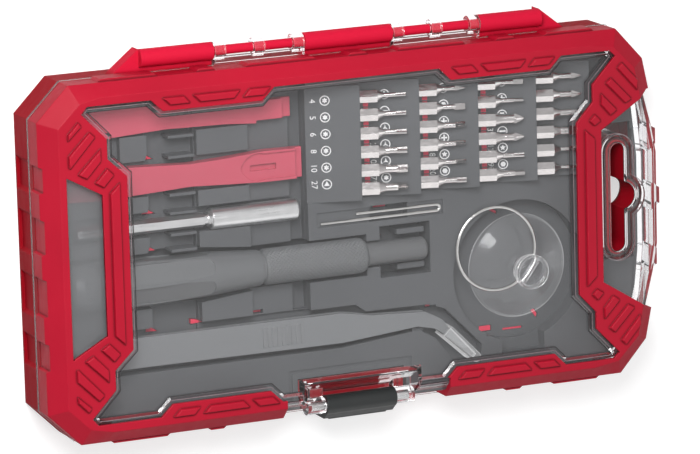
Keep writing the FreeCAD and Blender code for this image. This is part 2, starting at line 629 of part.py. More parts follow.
def build_driver_nose():
    body = new_body("driver_nose")
    profile = [(NOSE_STEM_START, 0.0), (DRIVER_TIP, 0.0), (DRIVER_TIP, 3.2),
               (DRIVER_TIP - 0.8, 3.7), (DRIVER_SHOULDER + 0.6, 3.7), (DRIVER_SHOULDER, 3.4),
               (DRIVER_SHOULDER, NOSE_STEM_RADIUS), (NOSE_STEM_START, NOSE_STEM_RADIUS)]
    turn(body, "nose_form", profile)
    cut_magnetic_socket(body, "nose", DRIVER_TIP)
    place(body, 0, dim("driver_y"), dim("driver_z"))
    return body


def cut_magnetic_socket(body, name, mouth):
    """Hex socket from its mouth backwards, with a round seat for a magnet at its end."""
    socket = hexagon(dim("hex_flats") + 2 * dim("socket_gap"))
    bottom = mouth - SOCKET_DEPTH
    pocket(body, f"{name}_socket", [socket], bottom, mouth, "YZ_Plane")
    pocket(body, f"{name}_magnet_seat", [circle(0, 0, MAGNET_RADIUS)], bottom - MAGNET_LENGTH,
           bottom, "YZ_Plane")


def build_magnet(name, mouth, y, z):
    """Round magnet at the bottom of the socket that opens at mouth."""
    body = new_body(name)
    start = mouth - SOCKET_DEPTH - MAGNET_LENGTH
    pad(body, f"{name}_disc", [circle(0, 0, MAGNET_RADIUS)], start, start + MAGNET_LENGTH - 0.1,
        "YZ_Plane")
    place(body, 0, y, z)
    return body


# ---------------------------------------------------------------- extension
SHAFT_START, SLEEVE_START, SLEEVE_END, SHAFT_IN_SLEEVE = -90.0, -45.4, -15.9, 12.0


def build_extension_shaft():
    body = new_body("extension_shaft")
    pad(body, "shaft_hex", [hexagon(dim("hex_flats"))], SHAFT_START,
        SLEEVE_START + SHAFT_IN_SLEEVE, "YZ_Plane")
    outside = 2.6
    taper = [(SHAFT_START, 1.9), (SHAFT_START + 0.7, outside), (SHAFT_START, outside)]
    turn(body, "shaft_end", taper, "Groove")
    turn(body, "shaft_neck", box_loop(-47.6, -46.2, 1.75, outside), "Groove")
    place(body, 0, dim("extension_y"), dim("extension_z"))
    return body


def build_extension_sleeve():
    body = new_body("extension_sleeve")
    radius = dim("sleeve_radius")
    profile = [(SLEEVE_START, 0.0), (SLEEVE_END, 0.0), (SLEEVE_END, radius - 0.55),
               (SLEEVE_END - 0.6, radius), (SLEEVE_START + 0.4, radius),
               (SLEEVE_START, radius - 0.35)]
    turn(body, "sleeve_form", profile)
    socket = hexagon(dim("hex_flats") + 2 * dim("socket_gap"))
    pocket(body, "sleeve_rear_socket", [socket], SLEEVE_START, SLEEVE_START + SHAFT_IN_SLEEVE,
           "YZ_Plane")
    cut_magnetic_socket(body, "sleeve", SLEEVE_END)
    place(body, 0, dim("extension_y"), dim("extension_z"))
    return body


# ---------------------------------------------------------------- pry tools
def build_pry_tool_narrow():
    """Pry tool with a narrow stepped blade at the right and a broad blade at the left."""
    body = new_body("pry_tool_narrow")
    low, high = 10.05, 13.6
    outline = [(-92.0, 38.0), (-84.0, 37.2), (-60.0, 38.4), (-40.0, 38.0), (-29.2, 37.2),
               (-29.2, 38.1), (-17.0, 38.1), (-17.0, 44.2), (-29.2, 44.2), (-55.0, 45.0),
               (-70.0, 47.2), (-84.0, 47.6), (-92.0, 46.4)]
    pad(body, "narrow_body", [outline], low, high)
    step = box_loop(-20.4, -16.0, 36.0, 47.0)
    pocket(body, "narrow_lip", [step], high - 1.9, high + 1)
    wedge_top = [(-93.0, high + 1), (-93.0, low + 0.9), (-80.0, high + 1)]
    slope(body, "narrow_blade", wedge_top)
    return body


def slope(body, name, profile_xz):
    """Cut a sloping face across a flat tool; the profile lies in the XZ plane."""
    sketch = add_sketch(body, f"{name}_sketch", [profile_xz], 0, "XZ_Plane")
    cut = body.newObject("PartDesign::Pocket", name)
    cut.Profile = sketch
    cut.Type = 1
    cut.Midplane = True
    return cut


def build_pry_tool_wide():
    """Pry tool with a broad stepped blade at the right, a thumb dish and a small slot."""
    body = new_body("pry_tool_wide")
    low, high = 10.05, 14.0
    outline = [(-92.0, 18.2), (-70.0, 18.8), (-52.0, 19.6), (-38.0, 18.9), (-27.0, 18.4),
               (-13.6, 18.4), (-13.6, 28.0), (-27.0, 28.2), (-40.0, 27.2), (-52.0, 26.7),
               (-70.0, 27.6), (-92.0, 28.2)]
    pad(body, "wide_body", [outline], low, high)
    pocket(body, "wide_lip", [box_loop(-16.2, -12.0, 17.0, 29.0)], high - 2.2, high + 1)
    dish = [(-27.0, 19.2), (-16.2, 19.2), (-16.2, 27.4), (-27.0, 27.4, 0.42), (-35.0, 23.3, 0.42)]
    pocket(body, "thumb_dish", [dish], high - 0.7, high + 1)
    pocket(body, "small_slot", [box_loop(-31.6, -22.8, 22.1, 24.0)], high - 1.8, high + 1)
    slope(body, "wide_blade", [(-93.0, high + 1), (-93.0, low + 0.9), (-80.0, high + 1)])
    return body


# ---------------------------------------------------------------- tweezers
TAIL_X = -91.0
RIB_WIDTH = 0.8
RIB_STARTS = [62.0 + 1.6 * number for number in range(9)]
TIP_START, TIP_TURN, TIP_REACH = (33.6, -36.3), -44.2, 12.6


def tip_point(along, side):
    """Point of the bent tip: distance along its centre line and to its rear side."""
    turn_angle = math.radians(TIP_TURN)
    return (TIP_START[0] + along * math.cos(turn_angle) - side * math.sin(turn_angle),
            TIP_START[1] + along * math.sin(turn_angle) + side * math.cos(turn_angle))


ARM_OUTLINE = [(TAIL_X, -34.6), (-80.0, -36.2), (-2.0, -36.2), (24.0, -33.9),
               tip_point(-3.5, -1.9), tip_point(0.0, -1.3), tip_point(TIP_REACH, -0.45),
               tip_point(TIP_REACH, 0.45), tip_point(0.0, 1.3), tip_point(-3.5, 1.9),
               (26.5, -29.4), (8.0, -28.4), (-2.0, -26.6), (-80.0, -26.6), (TAIL_X, -28.2)]


def build_tweezer_arm(name, upper):
    """One flat arm; its tip bends sideways. The upper arm opens about the welded tail."""
    body = new_body(name)
    outline = [(x - TAIL_X, y) for x, y in ARM_OUTLINE]
    pad(body, f"{name}_plate", [outline], 0, cell("arm_thickness"))
    if not upper:
        place(body, TAIL_X, 0, dim("arm_level"))
        return body
    face = cell("arm_thickness")
    ribs = [box_loop(x, x + RIB_WIDTH, -34.6, -28.4) for x in RIB_STARTS]
    pad(body, f"{name}_grip", ribs, f"{face} - 0.1", f"{face} + 0.2")
    place(body, TAIL_X, 0, dim("arm_level") + dim("arm_thickness"),
          Rotation(Vector(0, 1, 0), -dim("arm_opening")))
    return body


def build_tip_cover():
    """Clear sleeve pushed over both tweezer tips."""
    body = new_body("tweezer_tip_cover")
    length, half, floor, roof = 13.6, 2.05, 9.0, 15.9
    outer = [(0.0, -half), (length, -half * 0.8, 1.0), (length, half * 0.8), (0.0, half)]
    inner = [(-1.0, -1.65), (length - 0.4, -0.75), (length - 0.4, 0.75), (-1.0, 1.65)]
    pad(body, "cover_outer", [outer], floor, roof)
    pocket(body, "cover_inner", [inner], floor + 0.8, roof - 0.8)
    place(body, TIP_START[0], TIP_START[1], 0, Rotation(Vector(0, 0, 1), TIP_TURN))
    return body


# ---------------------------------------------------------------- small eject pin
def build_eject_pin():
    """Bent wire: a straight point, and a long closed loop as a handle."""
    body = new_body("sim_eject_pin")
    wire_radius, loop_half, left, loop_start, right = 0.5, 1.0, -8.2, 4.0, 32.0
    path = add_sketch(body, "pin_path", [], 0)
    path.addGeometry(Part.LineSegment(Vector(left, 0, 0), Vector(right, 0, 0)), False)
    path.addGeometry(Part.Arc(Vector(right, 0, 0), Vector(right + loop_half, loop_half, 0),
                              Vector(right, 2 * loop_half, 0)), False)
    path.addGeometry(Part.LineSegment(Vector(right, 2 * loop_half, 0),
                                      Vector(loop_start, 2 * loop_half, 0)), False)
    section = add_sketch(body, "pin_section", [circle(0, 0, wire_radius)], left, "YZ_Plane")
    pipe = body.newObject("PartDesign::AdditivePipe", "pin_wire")
    pipe.Profile = section
    pipe.Spine = (path, [])
    place(body, 0, 2.7, 12.9)
    return body


# ---------------------------------------------------------------- suction cup and ring
# Directions of the resting ring: from the knob to its centre, and along its hole.
TO_RING_CENTRE = Vector(-0.798, 0.602, 0).normalize()
ALONG_RING_HOLE = Vector(0.602, 0.798, 0).normalize()


def build_suction_cup():
    cup = new_body("cup_form")
    profile = [(0.0, 11.0), (3.0, 10.6), (9.0, 9.4), (14.0, 7.9), (16.6, 7.0), (17.0, 7.3),
               (16.2, 8.6), (12.5, 10.6), (7.6, 12.4), (5.2, 13.4), (4.5, 14.4), (4.5, 16.9),
               (5.5, 17.3), (5.6, 19.6), (5.0, 20.2), (0.0, 20.2)]
    turn(cup, "cup_turned", profile, plane="XZ_Plane", axis="V_Axis")
    hole = doc.addObject("Part::Cylinder", "ring_hole")
    hole.setExpression("Radius", f"{cell('ring_wire')} + 0.75")
    hole.Height = 24.0
    middle = Vector(dim("cup_x"), dim("cup_y"), dim("ring_hole_z"))
    hole.Placement = Placement(middle - ALONG_RING_HOLE * 12.0,
                               Rotation(Vector(0, 0, 1), ALONG_RING_HOLE))
    place(cup, dim("cup_x"), dim("cup_y"), 0)
    return cut_object("suction_cup", cup, [hole])


def build_suction_ring():
    ring = doc.addObject("Part::Torus", "suction_ring")
    ring.Label = "suction_ring"
    ring.setExpression("Radius1", cell("ring_radius"))
    ring.setExpression("Radius2", cell("ring_wire"))
    hole = Vector(dim("cup_x"), dim("cup_y"), dim("ring_hole_z"))
    tilt = Rotation(ALONG_RING_HOLE, -dim("ring_tilt"))
    ring.Placement = Placement(hole + tilt.multVec(TO_RING_CENTRE) * dim("ring_radius"), tilt)
    return ring


def cut_object(label, base, tools):
    """Part boolean: base minus all tools."""
    joined = tools[0]
    if len(tools) > 1:
        joined = doc.addObject("Part::MultiFuse", f"{label}_tools")
        joined.Shapes = tools
    result = doc.addObject("Part::Cut", label)
    result.Label = label
    result.Base, result.Tool = base, joined
    return result


# ---------------------------------------------------------------- bits
COLUMNS, ROWS = 4, 6
# (name, tip form, tip size, shaft radius) from the first column's top row downwards.
BITS = [
    ("bit_six_lobe_4", "six_lobe", 1.30, 0.75), ("bit_six_lobe_5", "six_lobe", 1.45, 0.8),
    ("bit_six_lobe_6", "six_lobe", 1.75, 0.9), ("bit_six_lobe_8", "six_lobe", 2.3, 1.15),
    ("bit_six_lobe_10", "six_lobe", 2.75, 1.35), ("bit_triangle_27", "triangle", 2.7, 1.3),
    ("bit_cross_000", "cross", 1.5, 0.75), ("bit_flat_20", "flat", 2.0, 0.8),
    ("bit_tri_wing_1", "tri_wing", 2.2, 0.95), ("bit_tri_wing_2", "tri_wing", 2.0, 0.9),
    ("bit_tri_wing_0", "tri_wing", 1.6, 0.75), ("bit_six_lobe_7", "six_lobe", 1.9, 0.95),
    ("bit_flat_15", "flat", 1.5, 0.75), ("bit_hex_13", "hex", 1.3, 0.75),
    ("bit_cross_2", "cross", 3.2, 1.6), ("bit_cross_1", "cross", 2.6, 1.3),
    ("bit_five_lobe_8", "five_lobe", 1.4, 0.85), ("bit_hex_20", "hex", 2.0, 1.05),
    ("bit_cross_00", "cross", 1.9, 0.95), ("bit_cross_0", "cross", 2.2, 1.1),
    ("bit_square_1", "square", 2.4, 1.15), ("bit_flat_30", "flat", 3.0, 1.4),
    ("bit_five_lobe_12", "five_lobe", 1.5, 0.7), ("bit_hex_9", "hex", 1.0, 0.6),
]
SHANK_LENGTH, NECK_LENGTH, TIP_LENGTH = 18.9, 2.2, 3.2


def bit_position(column, row):
    """Point where a bit's axis leaves its socket."""
    return Vector(dim("bit_first_x") + column * dim("bit_pitch_x"),
                  dim("bit_first_y") + (ROWS - 1 - row) * dim("bit_pitch_y"),
                  dim("bit_axis_z"))


def bit_rotation():
    return Rotation(Vector(0, 1, 0), -dim("bit_tilt"))


def tip_loops(form, size):
    """Outline of a drive tip, size being its largest width."""
    radius = size / 2.0
    if form == "six_lobe":
        return [star(6, radius, radius * 0.72)]
    if form == "five_lobe":
        return [star(5, radius, radius * 0.66)]
    if form == "triangle":
        return [polygon(3, radius * 1.05, 90)]
    if form == "tri_wing":
        return [star(3, radius, radius * 0.38)]
    if form == "hex":
        return [polygon(6, radius, 0)]
    if form == "square":
        return [polygon(4, radius, 45)]
    return [box_loop(-radius, radius, -0.16 * size, 0.16 * size)]


def build_bit(name, form, size, shaft, column, row):
    body = new_body(name)
    hidden, length = dim("bit_hidden"), dim("bit_length")
    rear = -hidden
    pad(body, f"{name}_shank", [hexagon(dim("hex_flats"), 30.0)], rear, rear + SHANK_LENGTH,
        "YZ_Plane")
    neck_end = rear + SHANK_LENGTH + NECK_LENGTH
    shaft_end = rear + length - TIP_LENGTH
    tip_end = rear + length
    turned = [(rear + SHANK_LENGTH, 0.0), (shaft_end, 0.0), (shaft_end, shaft),
              (neck_end, shaft), (rear + SHANK_LENGTH, 2.0)]
    if form == "cross":
        turned = [(rear + SHANK_LENGTH, 0.0), (tip_end, 0.0), (tip_end, shaft * 0.22),
                  (shaft_end + 0.6, shaft), (neck_end, shaft), (rear + SHANK_LENGTH, 2.0)]
    turn(body, f"{name}_neck", turned)
    if form == "cross":
        wing, reach = shaft * 0.2, shaft * 1.5
        sides = [(-reach, -wing), (wing, reach)]
        corners = [box_loop(*across, *along) for across in sides for along in sides]
        pocket(body, f"{name}_flutes", corners, shaft_end, tip_end + 0.2, "YZ_Plane")
    else:
        pad(body, f"{name}_tip", tip_loops(form, size), shaft_end - 0.2, tip_end, "YZ_Plane")
    position = bit_position(column, row)
    place(body, position.x, position.y, position.z, bit_rotation())
    return body


# ---------------------------------------------------------------- tray
RACK_LOW, RACK_HIGH, RACK_END = 9.7, 46.6, 84.7
RECESS = [(-98.0, -24.6), (-12.3, -24.6), (-12.3, 48.4), (-94.4, 48.4), (-98.0, 44.8)]
BLOCK_SPANS = [(-74.5, -65.6), (-49.0, -31.8)]
BLOCK_ROWS = [(29.0, 37.0), (12.8, 17.8)]
DRIVER_WELL = [(-97.6, -17.7), (-49.0, -17.7), (-31.0, -15.7), (7.4, -15.7),
               (7.4, -2.3), (-31.0, -2.3), (-49.0, -0.3), (-97.6, -0.3)]
DRIVER_BLOCKS = [box_loop(-74.5, -65.6, -0.2, 4.8), box_loop(-74.5, -65.6, -24.0, -17.8),
                 [(-49.0, -0.2), (-31.8, -2.0), (-31.8, 4.8), (-49.0, 4.8)],
                 [(-49.0, -24.0), (-31.8, -24.0), (-31.8, -16.0), (-49.0, -17.8)]]
CUP_POCKET = circle(60.3, -19.9, 23.0)
SNAP_CLIP_ROWS = [28.9, 35.3, 11.2, 17.0, 4.4, -0.7]
# Narrow groove in the tray that runs round the latch cutout.
LATCH_GROOVE = [(-20.4, -58.0), (-19.4, -58.0), (-19.4, -44.5), (21.0, -44.5),
                (21.0, -58.0), (22.0, -58.0), (22.0, -43.5), (-20.4, -43.5)]
NOSE_LEDGES = [box_loop(18.6, 28.0, -3.9, -2.2), box_loop(18.6, 28.0, -15.2, -13.4)]


def build_tool_tray():
    body = new_body("tray_form")
    wall, top = dim("tray_skin"), cell("tray_top")
    under = f"{top} - {wall}"
    pad(body, "tray_plate", [grow(CASE_OUTLINE, -4.2)], under, top)
    pad(body, "tray_rim", [grow(CASE_OUTLINE, -2.4)], cell("ledge_height"), "11.7")
    wells = tray_wells()
    for name, loop, floor in wells:
        outer = grow_any(loop, wall)
        pad(body, f"{name}_well", [outer], f"{floor} - {wall}", under)
    build_bit_rack(body)
    for name, loop, floor in wells:
        pocket(body, f"{name}_cavity", [loop], floor, f"{top} + 0.5")
    blocks = list(DRIVER_BLOCKS)
    for x_low, x_high in BLOCK_SPANS:
        blocks = blocks + [box_loop(x_low, x_high, y_low, y_high) for y_low, y_high in BLOCK_ROWS]
    pad(body, "divider_blocks", blocks, f"{cell('finger_level')} - 0.2", f"{top} - 0.4")
    clips = [box_loop(-58.8, -50.2, y_low, y_low + 0.9) for y_low in SNAP_CLIP_ROWS]
    pad(body, "snap_clips", clips, f"{cell('finger_level')} - 0.2", f"{top} + 0.4")
    pad(body, "nose_ledges", NOSE_LEDGES, 4.8, 11.4)
    pad(body, "tip_clip", [box_loop(22.6, 26.6, -35.9, -34.6)], 8.0, 12.6)
    pocket(body, "see_through", tray_windows(), 0, f"{top} + 6")
    pocket(body, "handle_cutout", [box_loop(HANG_X - 6.4, HANG_X + 10.2, -20.0, 24.6)], 0,
           f"{top} + 7")
    pocket(body, "latch_cutout", [box_loop(-17.6, 19.2, -58.0, -46.3)], 0, f"{top} + 1")
    pocket(body, "latch_groove", [LATCH_GROOVE], f"{top} - 0.4", f"{top} + 1")
    return cut_object("tool_tray", body, bit_sockets())


def grow_any(loop, distance):
    if loop[0] == "circle":
        return circle(loop[1], loop[2], loop[3] + distance)
    return grow(loop, distance)


def tray_wells():
    """Every well of the tray: name, outline and floor level."""
    shelf, finger = cell("shelf_level"), cell("finger_level")
    driver_y = dim("driver_y")
    return [
        ("shelf", RECESS, shelf),
        ("tweezer_shelf", [(-98.0, -38.0), (-2.0, -38.0), (25.0, -35.4), (30.4, -38.6),
                           (38.0, -48.6), (46.2, -48.6), (46.8, -42.6), (34.0, -29.4),
                           (28.0, -27.4), (6.6, -27.2), (3.0, -24.6), (-98.0, -24.6)], "8.6"),
        ("finger_left", box_loop(-65.4, -49.2, -37.0, 48.4), finger),
        ("finger_right", box_loop(-17.2, -12.4, -24.4, 48.4), finger),
        ("driver", DRIVER_WELL, "3.7"),
        ("extension", box_loop(-91.0, -15.3, 4.6, 12.2), "8.4"),
        ("driver_neck", box_loop(7.0, 12.6, driver_y - 4.2, driver_y + 4.4), "7.0"),
        ("nose", [(12.0, -17.0), (29.4, -17.0), (29.4, -0.3), (12.0, -0.3)], "5.0"),
        ("eject_pin", box_loop(-9.4, 34.2, 1.5, 6.2), "12.35"),
        ("pin_finger", box_loop(9.0, 22.0, 1.6, 6.6), "9.0"),
        ("cup", CUP_POCKET, "6.95"),
        ("cup_finger", box_loop(54.0, 69.0, -46.6, -38.0), "8.5"),
    ]


def tray_windows():
    """Small openings in the floors that show the base behind."""
    windows = [[(-66.6, low), (-61.4, low), (-65.8, low + 2.6)] for low in (-0.8, 11.0, 28.2)]
    windows.append([(-66.6, -26.2), (-62.2, -26.2), (-66.6, -23.6)])
    windows.append([(-51.6, -25.4), (-40.0, -24.6), (-47.0, -24.4), (-51.6, -23.5)])
    windows.append(box_loop(-31.6, -27.4, -24.2, -23.0))
    windows.append(box_loop(29.0, 31.0, -29.4, -27.8))
    windows.append(box_loop(48.6, 53.0, -40.2, -38.2))
    windows.append([(57.0, -40.6), (64.0, -40.6), (64.0, -39.8), (57.0, -39.8)])
    windows.append([(66.6, -34.6), (69.2, -38.0), (69.6, -36.4), (68.0, -34.0)])
    windows.append([(52.6, -0.4), (55.6, -2.2), (56.0, -1.2), (53.4, 0.4)])
    windows.append([(13.0, -5.0), (16.4, -5.0), (13.0, -3.4)])
    windows.append(box_loop(11.6, 16.2, 5.0, 6.0))
    return windows


def build_bit_rack(body):
    """Saw-tooth rack: each ramp carries one column, each step hides its sockets."""
    pitch, first = dim("bit_pitch_x"), dim("bit_first_x")
    rise = pitch * math.tan(math.radians(dim("bit_tilt")))
    valley = dim("bit_axis_z") - 2.6
    start = first - pitch
    surface = []
    for column in range(COLUMNS + 1):
        x = start + column * pitch
        surface = surface + [(x, valley), (x + pitch, valley + rise)]
    surface[-1] = (RACK_END, valley + rise * (RACK_END - surface[-2][0]) / pitch)
    low = dim("tray_top") - dim("tray_skin")
    profile = [(start, low - 2.0), (RACK_END, low - 2.0)] + surface[::-1]
    rows = (RACK_LOW, RACK_HIGH)
    pocket(body, "rack_clearance", [box_loop(start, RACK_END, *rows)], low - 0.5, "30")
    pad_across(body, "rack_ramps", [profile], *rows)
    slabs = []
    for column in range(COLUMNS):
        x = first + column * pitch
        x_rear = x - dim("bit_hidden") - 1.0
        drop = rise * (x - x_rear) / pitch
        upper = valley + rise - 1.5
        lower = upper - 5.7
        slabs.append([(x_rear, lower - drop), (x, lower), (x, upper), (x_rear, upper - drop)])
    pad_across(body, "socket_slabs", slabs, *rows)


def pad_across(body, name, loops, y_low, y_high):
    """Pad loops drawn in the XZ plane from y_low to y_high."""
    sketch = add_sketch(body, f"{name}_sketch", loops, -y_high, "XZ_Plane")
    feature = body.newObject("PartDesign::Pad", name)
    feature.Profile = sketch
    feature.setExpression("Length", f"{y_high} - ({y_low})")


def bit_sockets():
    """Tools that cut a hex socket for every bit and a small window beside it."""
    tools = []
    reach = dim("bit_hidden") + 0.3
    for column in range(COLUMNS):
        for row in range(ROWS):
            socket = doc.addObject("Part::Prism", f"socket_{column}_{row}")
            socket.Polygon = 6
            circumradius = (dim("hex_flats") / 2 + dim("socket_gap")) * 2 / math.sqrt(3.0)
            socket.Circumradius = circumradius
            socket.Height = reach + 3.0
            tilt = bit_rotation()
            axis = tilt.multVec(Vector(1, 0, 0))
            turned = tilt * Rotation(Vector(0, 1, 0), 90)
            socket.Placement = Placement(bit_position(column, row) - axis * reach, turned)
            tools.append(socket)
            if row < ROWS - 1:
                window = doc.addObject("Part::Box", f"window_{column}_{row}")
                window.Length, window.Width, window.Height = 1.5, 1.7, 14.0
                spot = bit_position(column, row)
                window.Placement = Placement(Vector(spot.x + 0.25, spot.y - 3.8, 5.0), Rotation())
                tools.append(window)
    return tools


# ---------------------------------------------------------------- whole set
def build_all():
    parts = [build_base_shell(), build_tool_tray(), build_lid_window(), build_lid_frame(),
             build_latch(), build_latch_pin(), build_driver_handle(), build_driver_cap(),
             build_driver_cap_pin(), build_driver_nose(), build_extension_shaft(),
             build_extension_sleeve(), build_pry_tool_narrow(), build_pry_tool_wide(),
             build_tweezer_arm("tweezer_lower_arm", False),
             build_tweezer_arm("tweezer_upper_arm", True), build_tip_cover(),
             build_eject_pin(), build_suction_cup(), build_suction_ring()]
    parts.append(build_magnet("driver_magnet", DRIVER_TIP, dim("driver_y"), dim("driver_z")))
    parts.append(build_magnet("extension_magnet", SLEEVE_END, dim("extension_y"),
                              dim("extension_z")))
    for index, (name, form, size, shaft) in enumerate(BITS):
        parts.append(build_bit(name, form, size, shaft, index // ROWS, index % ROWS))
    return parts


def check_features():
    """Stop if a feature failed, or if a cut removed nothing."""
    cutting = ("PartDesign::Pocket", "PartDesign::Groove", "PartDesign::SubtractiveLoft")
    faults = []
    for item in doc.Objects:
        if "Invalid" in item.State or "Error" in item.State:
            faults.append(f"{item.Name}: {item.State}")
        elif item.TypeId in cutting and item.BaseFeature:
            if item.Shape.Volume > item.BaseFeature.Shape.Volume - 1e-3:
                faults.append(f"{item.Name}: removes nothing")
    if faults:
        raise RuntimeError("; ".join(faults))


def export(parts):
    os.makedirs("parts", exist_ok=True)
    for part in parts:
        shape = part.Shape
        if shape.isNull() or not shape.isValid():
            raise RuntimeError(f"{part.Label} has no valid shape")
        shape.exportStep(f"parts/{part.Label}.step")
        print(part.Label, len(shape.Solids), round(shape.Volume / 1000.0, 3), "cm3")


ALL_PARTS = build_all()
doc.recompute()
check_features()
export(ALL_PARTS)
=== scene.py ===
"""Looks of the precision screwdriver set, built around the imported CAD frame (metres)."""
import json
import math

import bmesh
import bpy
from mathutils import Matrix, Vector


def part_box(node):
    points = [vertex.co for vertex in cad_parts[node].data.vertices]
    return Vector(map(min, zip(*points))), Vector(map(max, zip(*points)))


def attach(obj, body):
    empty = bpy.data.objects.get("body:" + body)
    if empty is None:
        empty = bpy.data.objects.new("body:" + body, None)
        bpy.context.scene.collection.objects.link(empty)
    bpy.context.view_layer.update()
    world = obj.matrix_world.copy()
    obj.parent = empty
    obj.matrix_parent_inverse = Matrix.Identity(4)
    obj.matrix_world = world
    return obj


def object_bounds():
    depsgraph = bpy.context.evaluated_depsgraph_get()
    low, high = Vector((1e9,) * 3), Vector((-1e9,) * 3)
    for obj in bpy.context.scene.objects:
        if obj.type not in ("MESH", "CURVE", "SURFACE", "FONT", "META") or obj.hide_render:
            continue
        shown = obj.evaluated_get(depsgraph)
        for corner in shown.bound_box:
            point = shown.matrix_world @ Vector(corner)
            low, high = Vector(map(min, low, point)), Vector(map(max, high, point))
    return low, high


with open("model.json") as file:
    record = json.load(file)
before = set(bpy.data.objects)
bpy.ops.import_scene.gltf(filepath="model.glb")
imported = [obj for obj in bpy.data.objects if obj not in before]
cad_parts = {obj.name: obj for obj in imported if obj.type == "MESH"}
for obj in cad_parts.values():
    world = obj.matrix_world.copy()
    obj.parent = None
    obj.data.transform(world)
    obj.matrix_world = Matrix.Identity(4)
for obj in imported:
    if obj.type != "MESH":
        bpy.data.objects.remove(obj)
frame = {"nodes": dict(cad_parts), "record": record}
cad_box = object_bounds()
MM = 0.001


# ---------------------------------------------------------------- shader helper
BEVEL_SAMPLES, CREVICE_SAMPLES = 6, 8


class Shader:
    """A new node material, with short calls to add and link its nodes."""

    def __init__(self, name):
        self.material = bpy.data.materials.new(name)
        self.material.use_nodes = True
        self.tree = self.material.node_tree
        self.tree.nodes.clear()
        self.output = self.add("OutputMaterial")

    def add(self, kind, inputs=None, **settings):
        node = self.tree.nodes.new(f"ShaderNode{kind}")
        for name, value in settings.items():
            setattr(node, name, value)
        for name, value in (inputs or {}).items():
            self.feed(node, name, value)
        return node

    def feed(self, node, name, value):
        socket = node.inputs[name]
        if isinstance(value, bpy.types.NodeSocket):
            self.tree.links.new(value, socket)
        else:
            socket.default_value = value

    def math(self, operation, first, second=0.0, clamp=False):
        node = self.add("Math", {0: first, 1: second}, operation=operation, use_clamp=clamp)
        return node.outputs[0]

    def ramp(self, value, low, high, result_low=0.0, result_high=1.0):
        node = self.add("MapRange", {"Value": value, "From Min": low, "From Max": high,
                                     "To Min": result_low, "To Max": result_high})
        return node.outputs["Result"]

    def blend(self, share, first, second):
        """Mix of two shaders."""
        return self.add("MixShader", {0: share, 1: first, 2: second}).outputs[0]

    def tint(self, share, first, second):
        """Mix of two colours."""
        node = self.add("Mix", data_type="RGBA")
        for index, value in ((0, share), (6, first), (7, second)):
            self.feed(node, index, value)
        return node.outputs[2]

    def noise(self, scale, detail=2.0, stretch=(1.0, 1.0, 1.0), roughness=0.5):
        place = self.add("TexCoord").outputs["Object"]
        mapping = self.add("Mapping", {"Vector": place, "Scale": stretch})
        inputs = {"Vector": mapping.outputs[0], "Scale": scale, "Detail": detail,
                  "Roughness": roughness}
        return self.add("TexNoise", inputs).outputs["Fac"]

    def rounded_normal(self, radius):
        return self.add("Bevel", {"Radius": radius}, samples=BEVEL_SAMPLES).outputs[0]

    def edges(self, normal, low=0.01, high=0.25):
        """1 on rounded edges, 0 on flat faces, from how far a rounded normal leans away."""
        true_normal = self.add("NewGeometry").outputs["Normal"]
        facing = self.add("VectorMath", {0: normal, 1: true_normal}, operation="DOT_PRODUCT")
        lean = self.math("SUBTRACT", 1.0, facing.outputs["Value"])
        return self.ramp(lean, low, high)

    def bump(self, height, distance, normal=None):
        inputs = {"Height": height, "Distance": distance, "Strength": 1.0}
        if normal is not None:
            inputs["Normal"] = normal
        return self.add("Bump", inputs).outputs[0]

    def finish(self, surface):
        self.feed(self.output, "Surface", surface)
        return self.material


def shade(colour, factor):
    """Colour made lighter or darker by a factor."""
    return tuple(min(channel * factor, 1.0) for channel in colour[:3]) + (1.0,)


# ---------------------------------------------------------------- materials
# Reach of the ambient-occlusion test behind the painted shade in hollows.
CREVICE_REACH = 0.8 * MM
# Painted light: the hinge barrels catch more light than the case, so their red is painted
# lighter behind these levels of Y.
HINGE_FADE = (56.5 * MM, 58.0 * MM)
PLASTIC_IOR, FILM_IOR = 1.45, 1.02
RIPPLE_DEPTH, SCUFF_DEPTH = 0.04 * MM, 0.006 * MM
MILK_COLOUR = (0.93, 0.93, 0.94, 1.0)
BARE_STEEL = (0.42, 0.42, 0.42, 1.0)


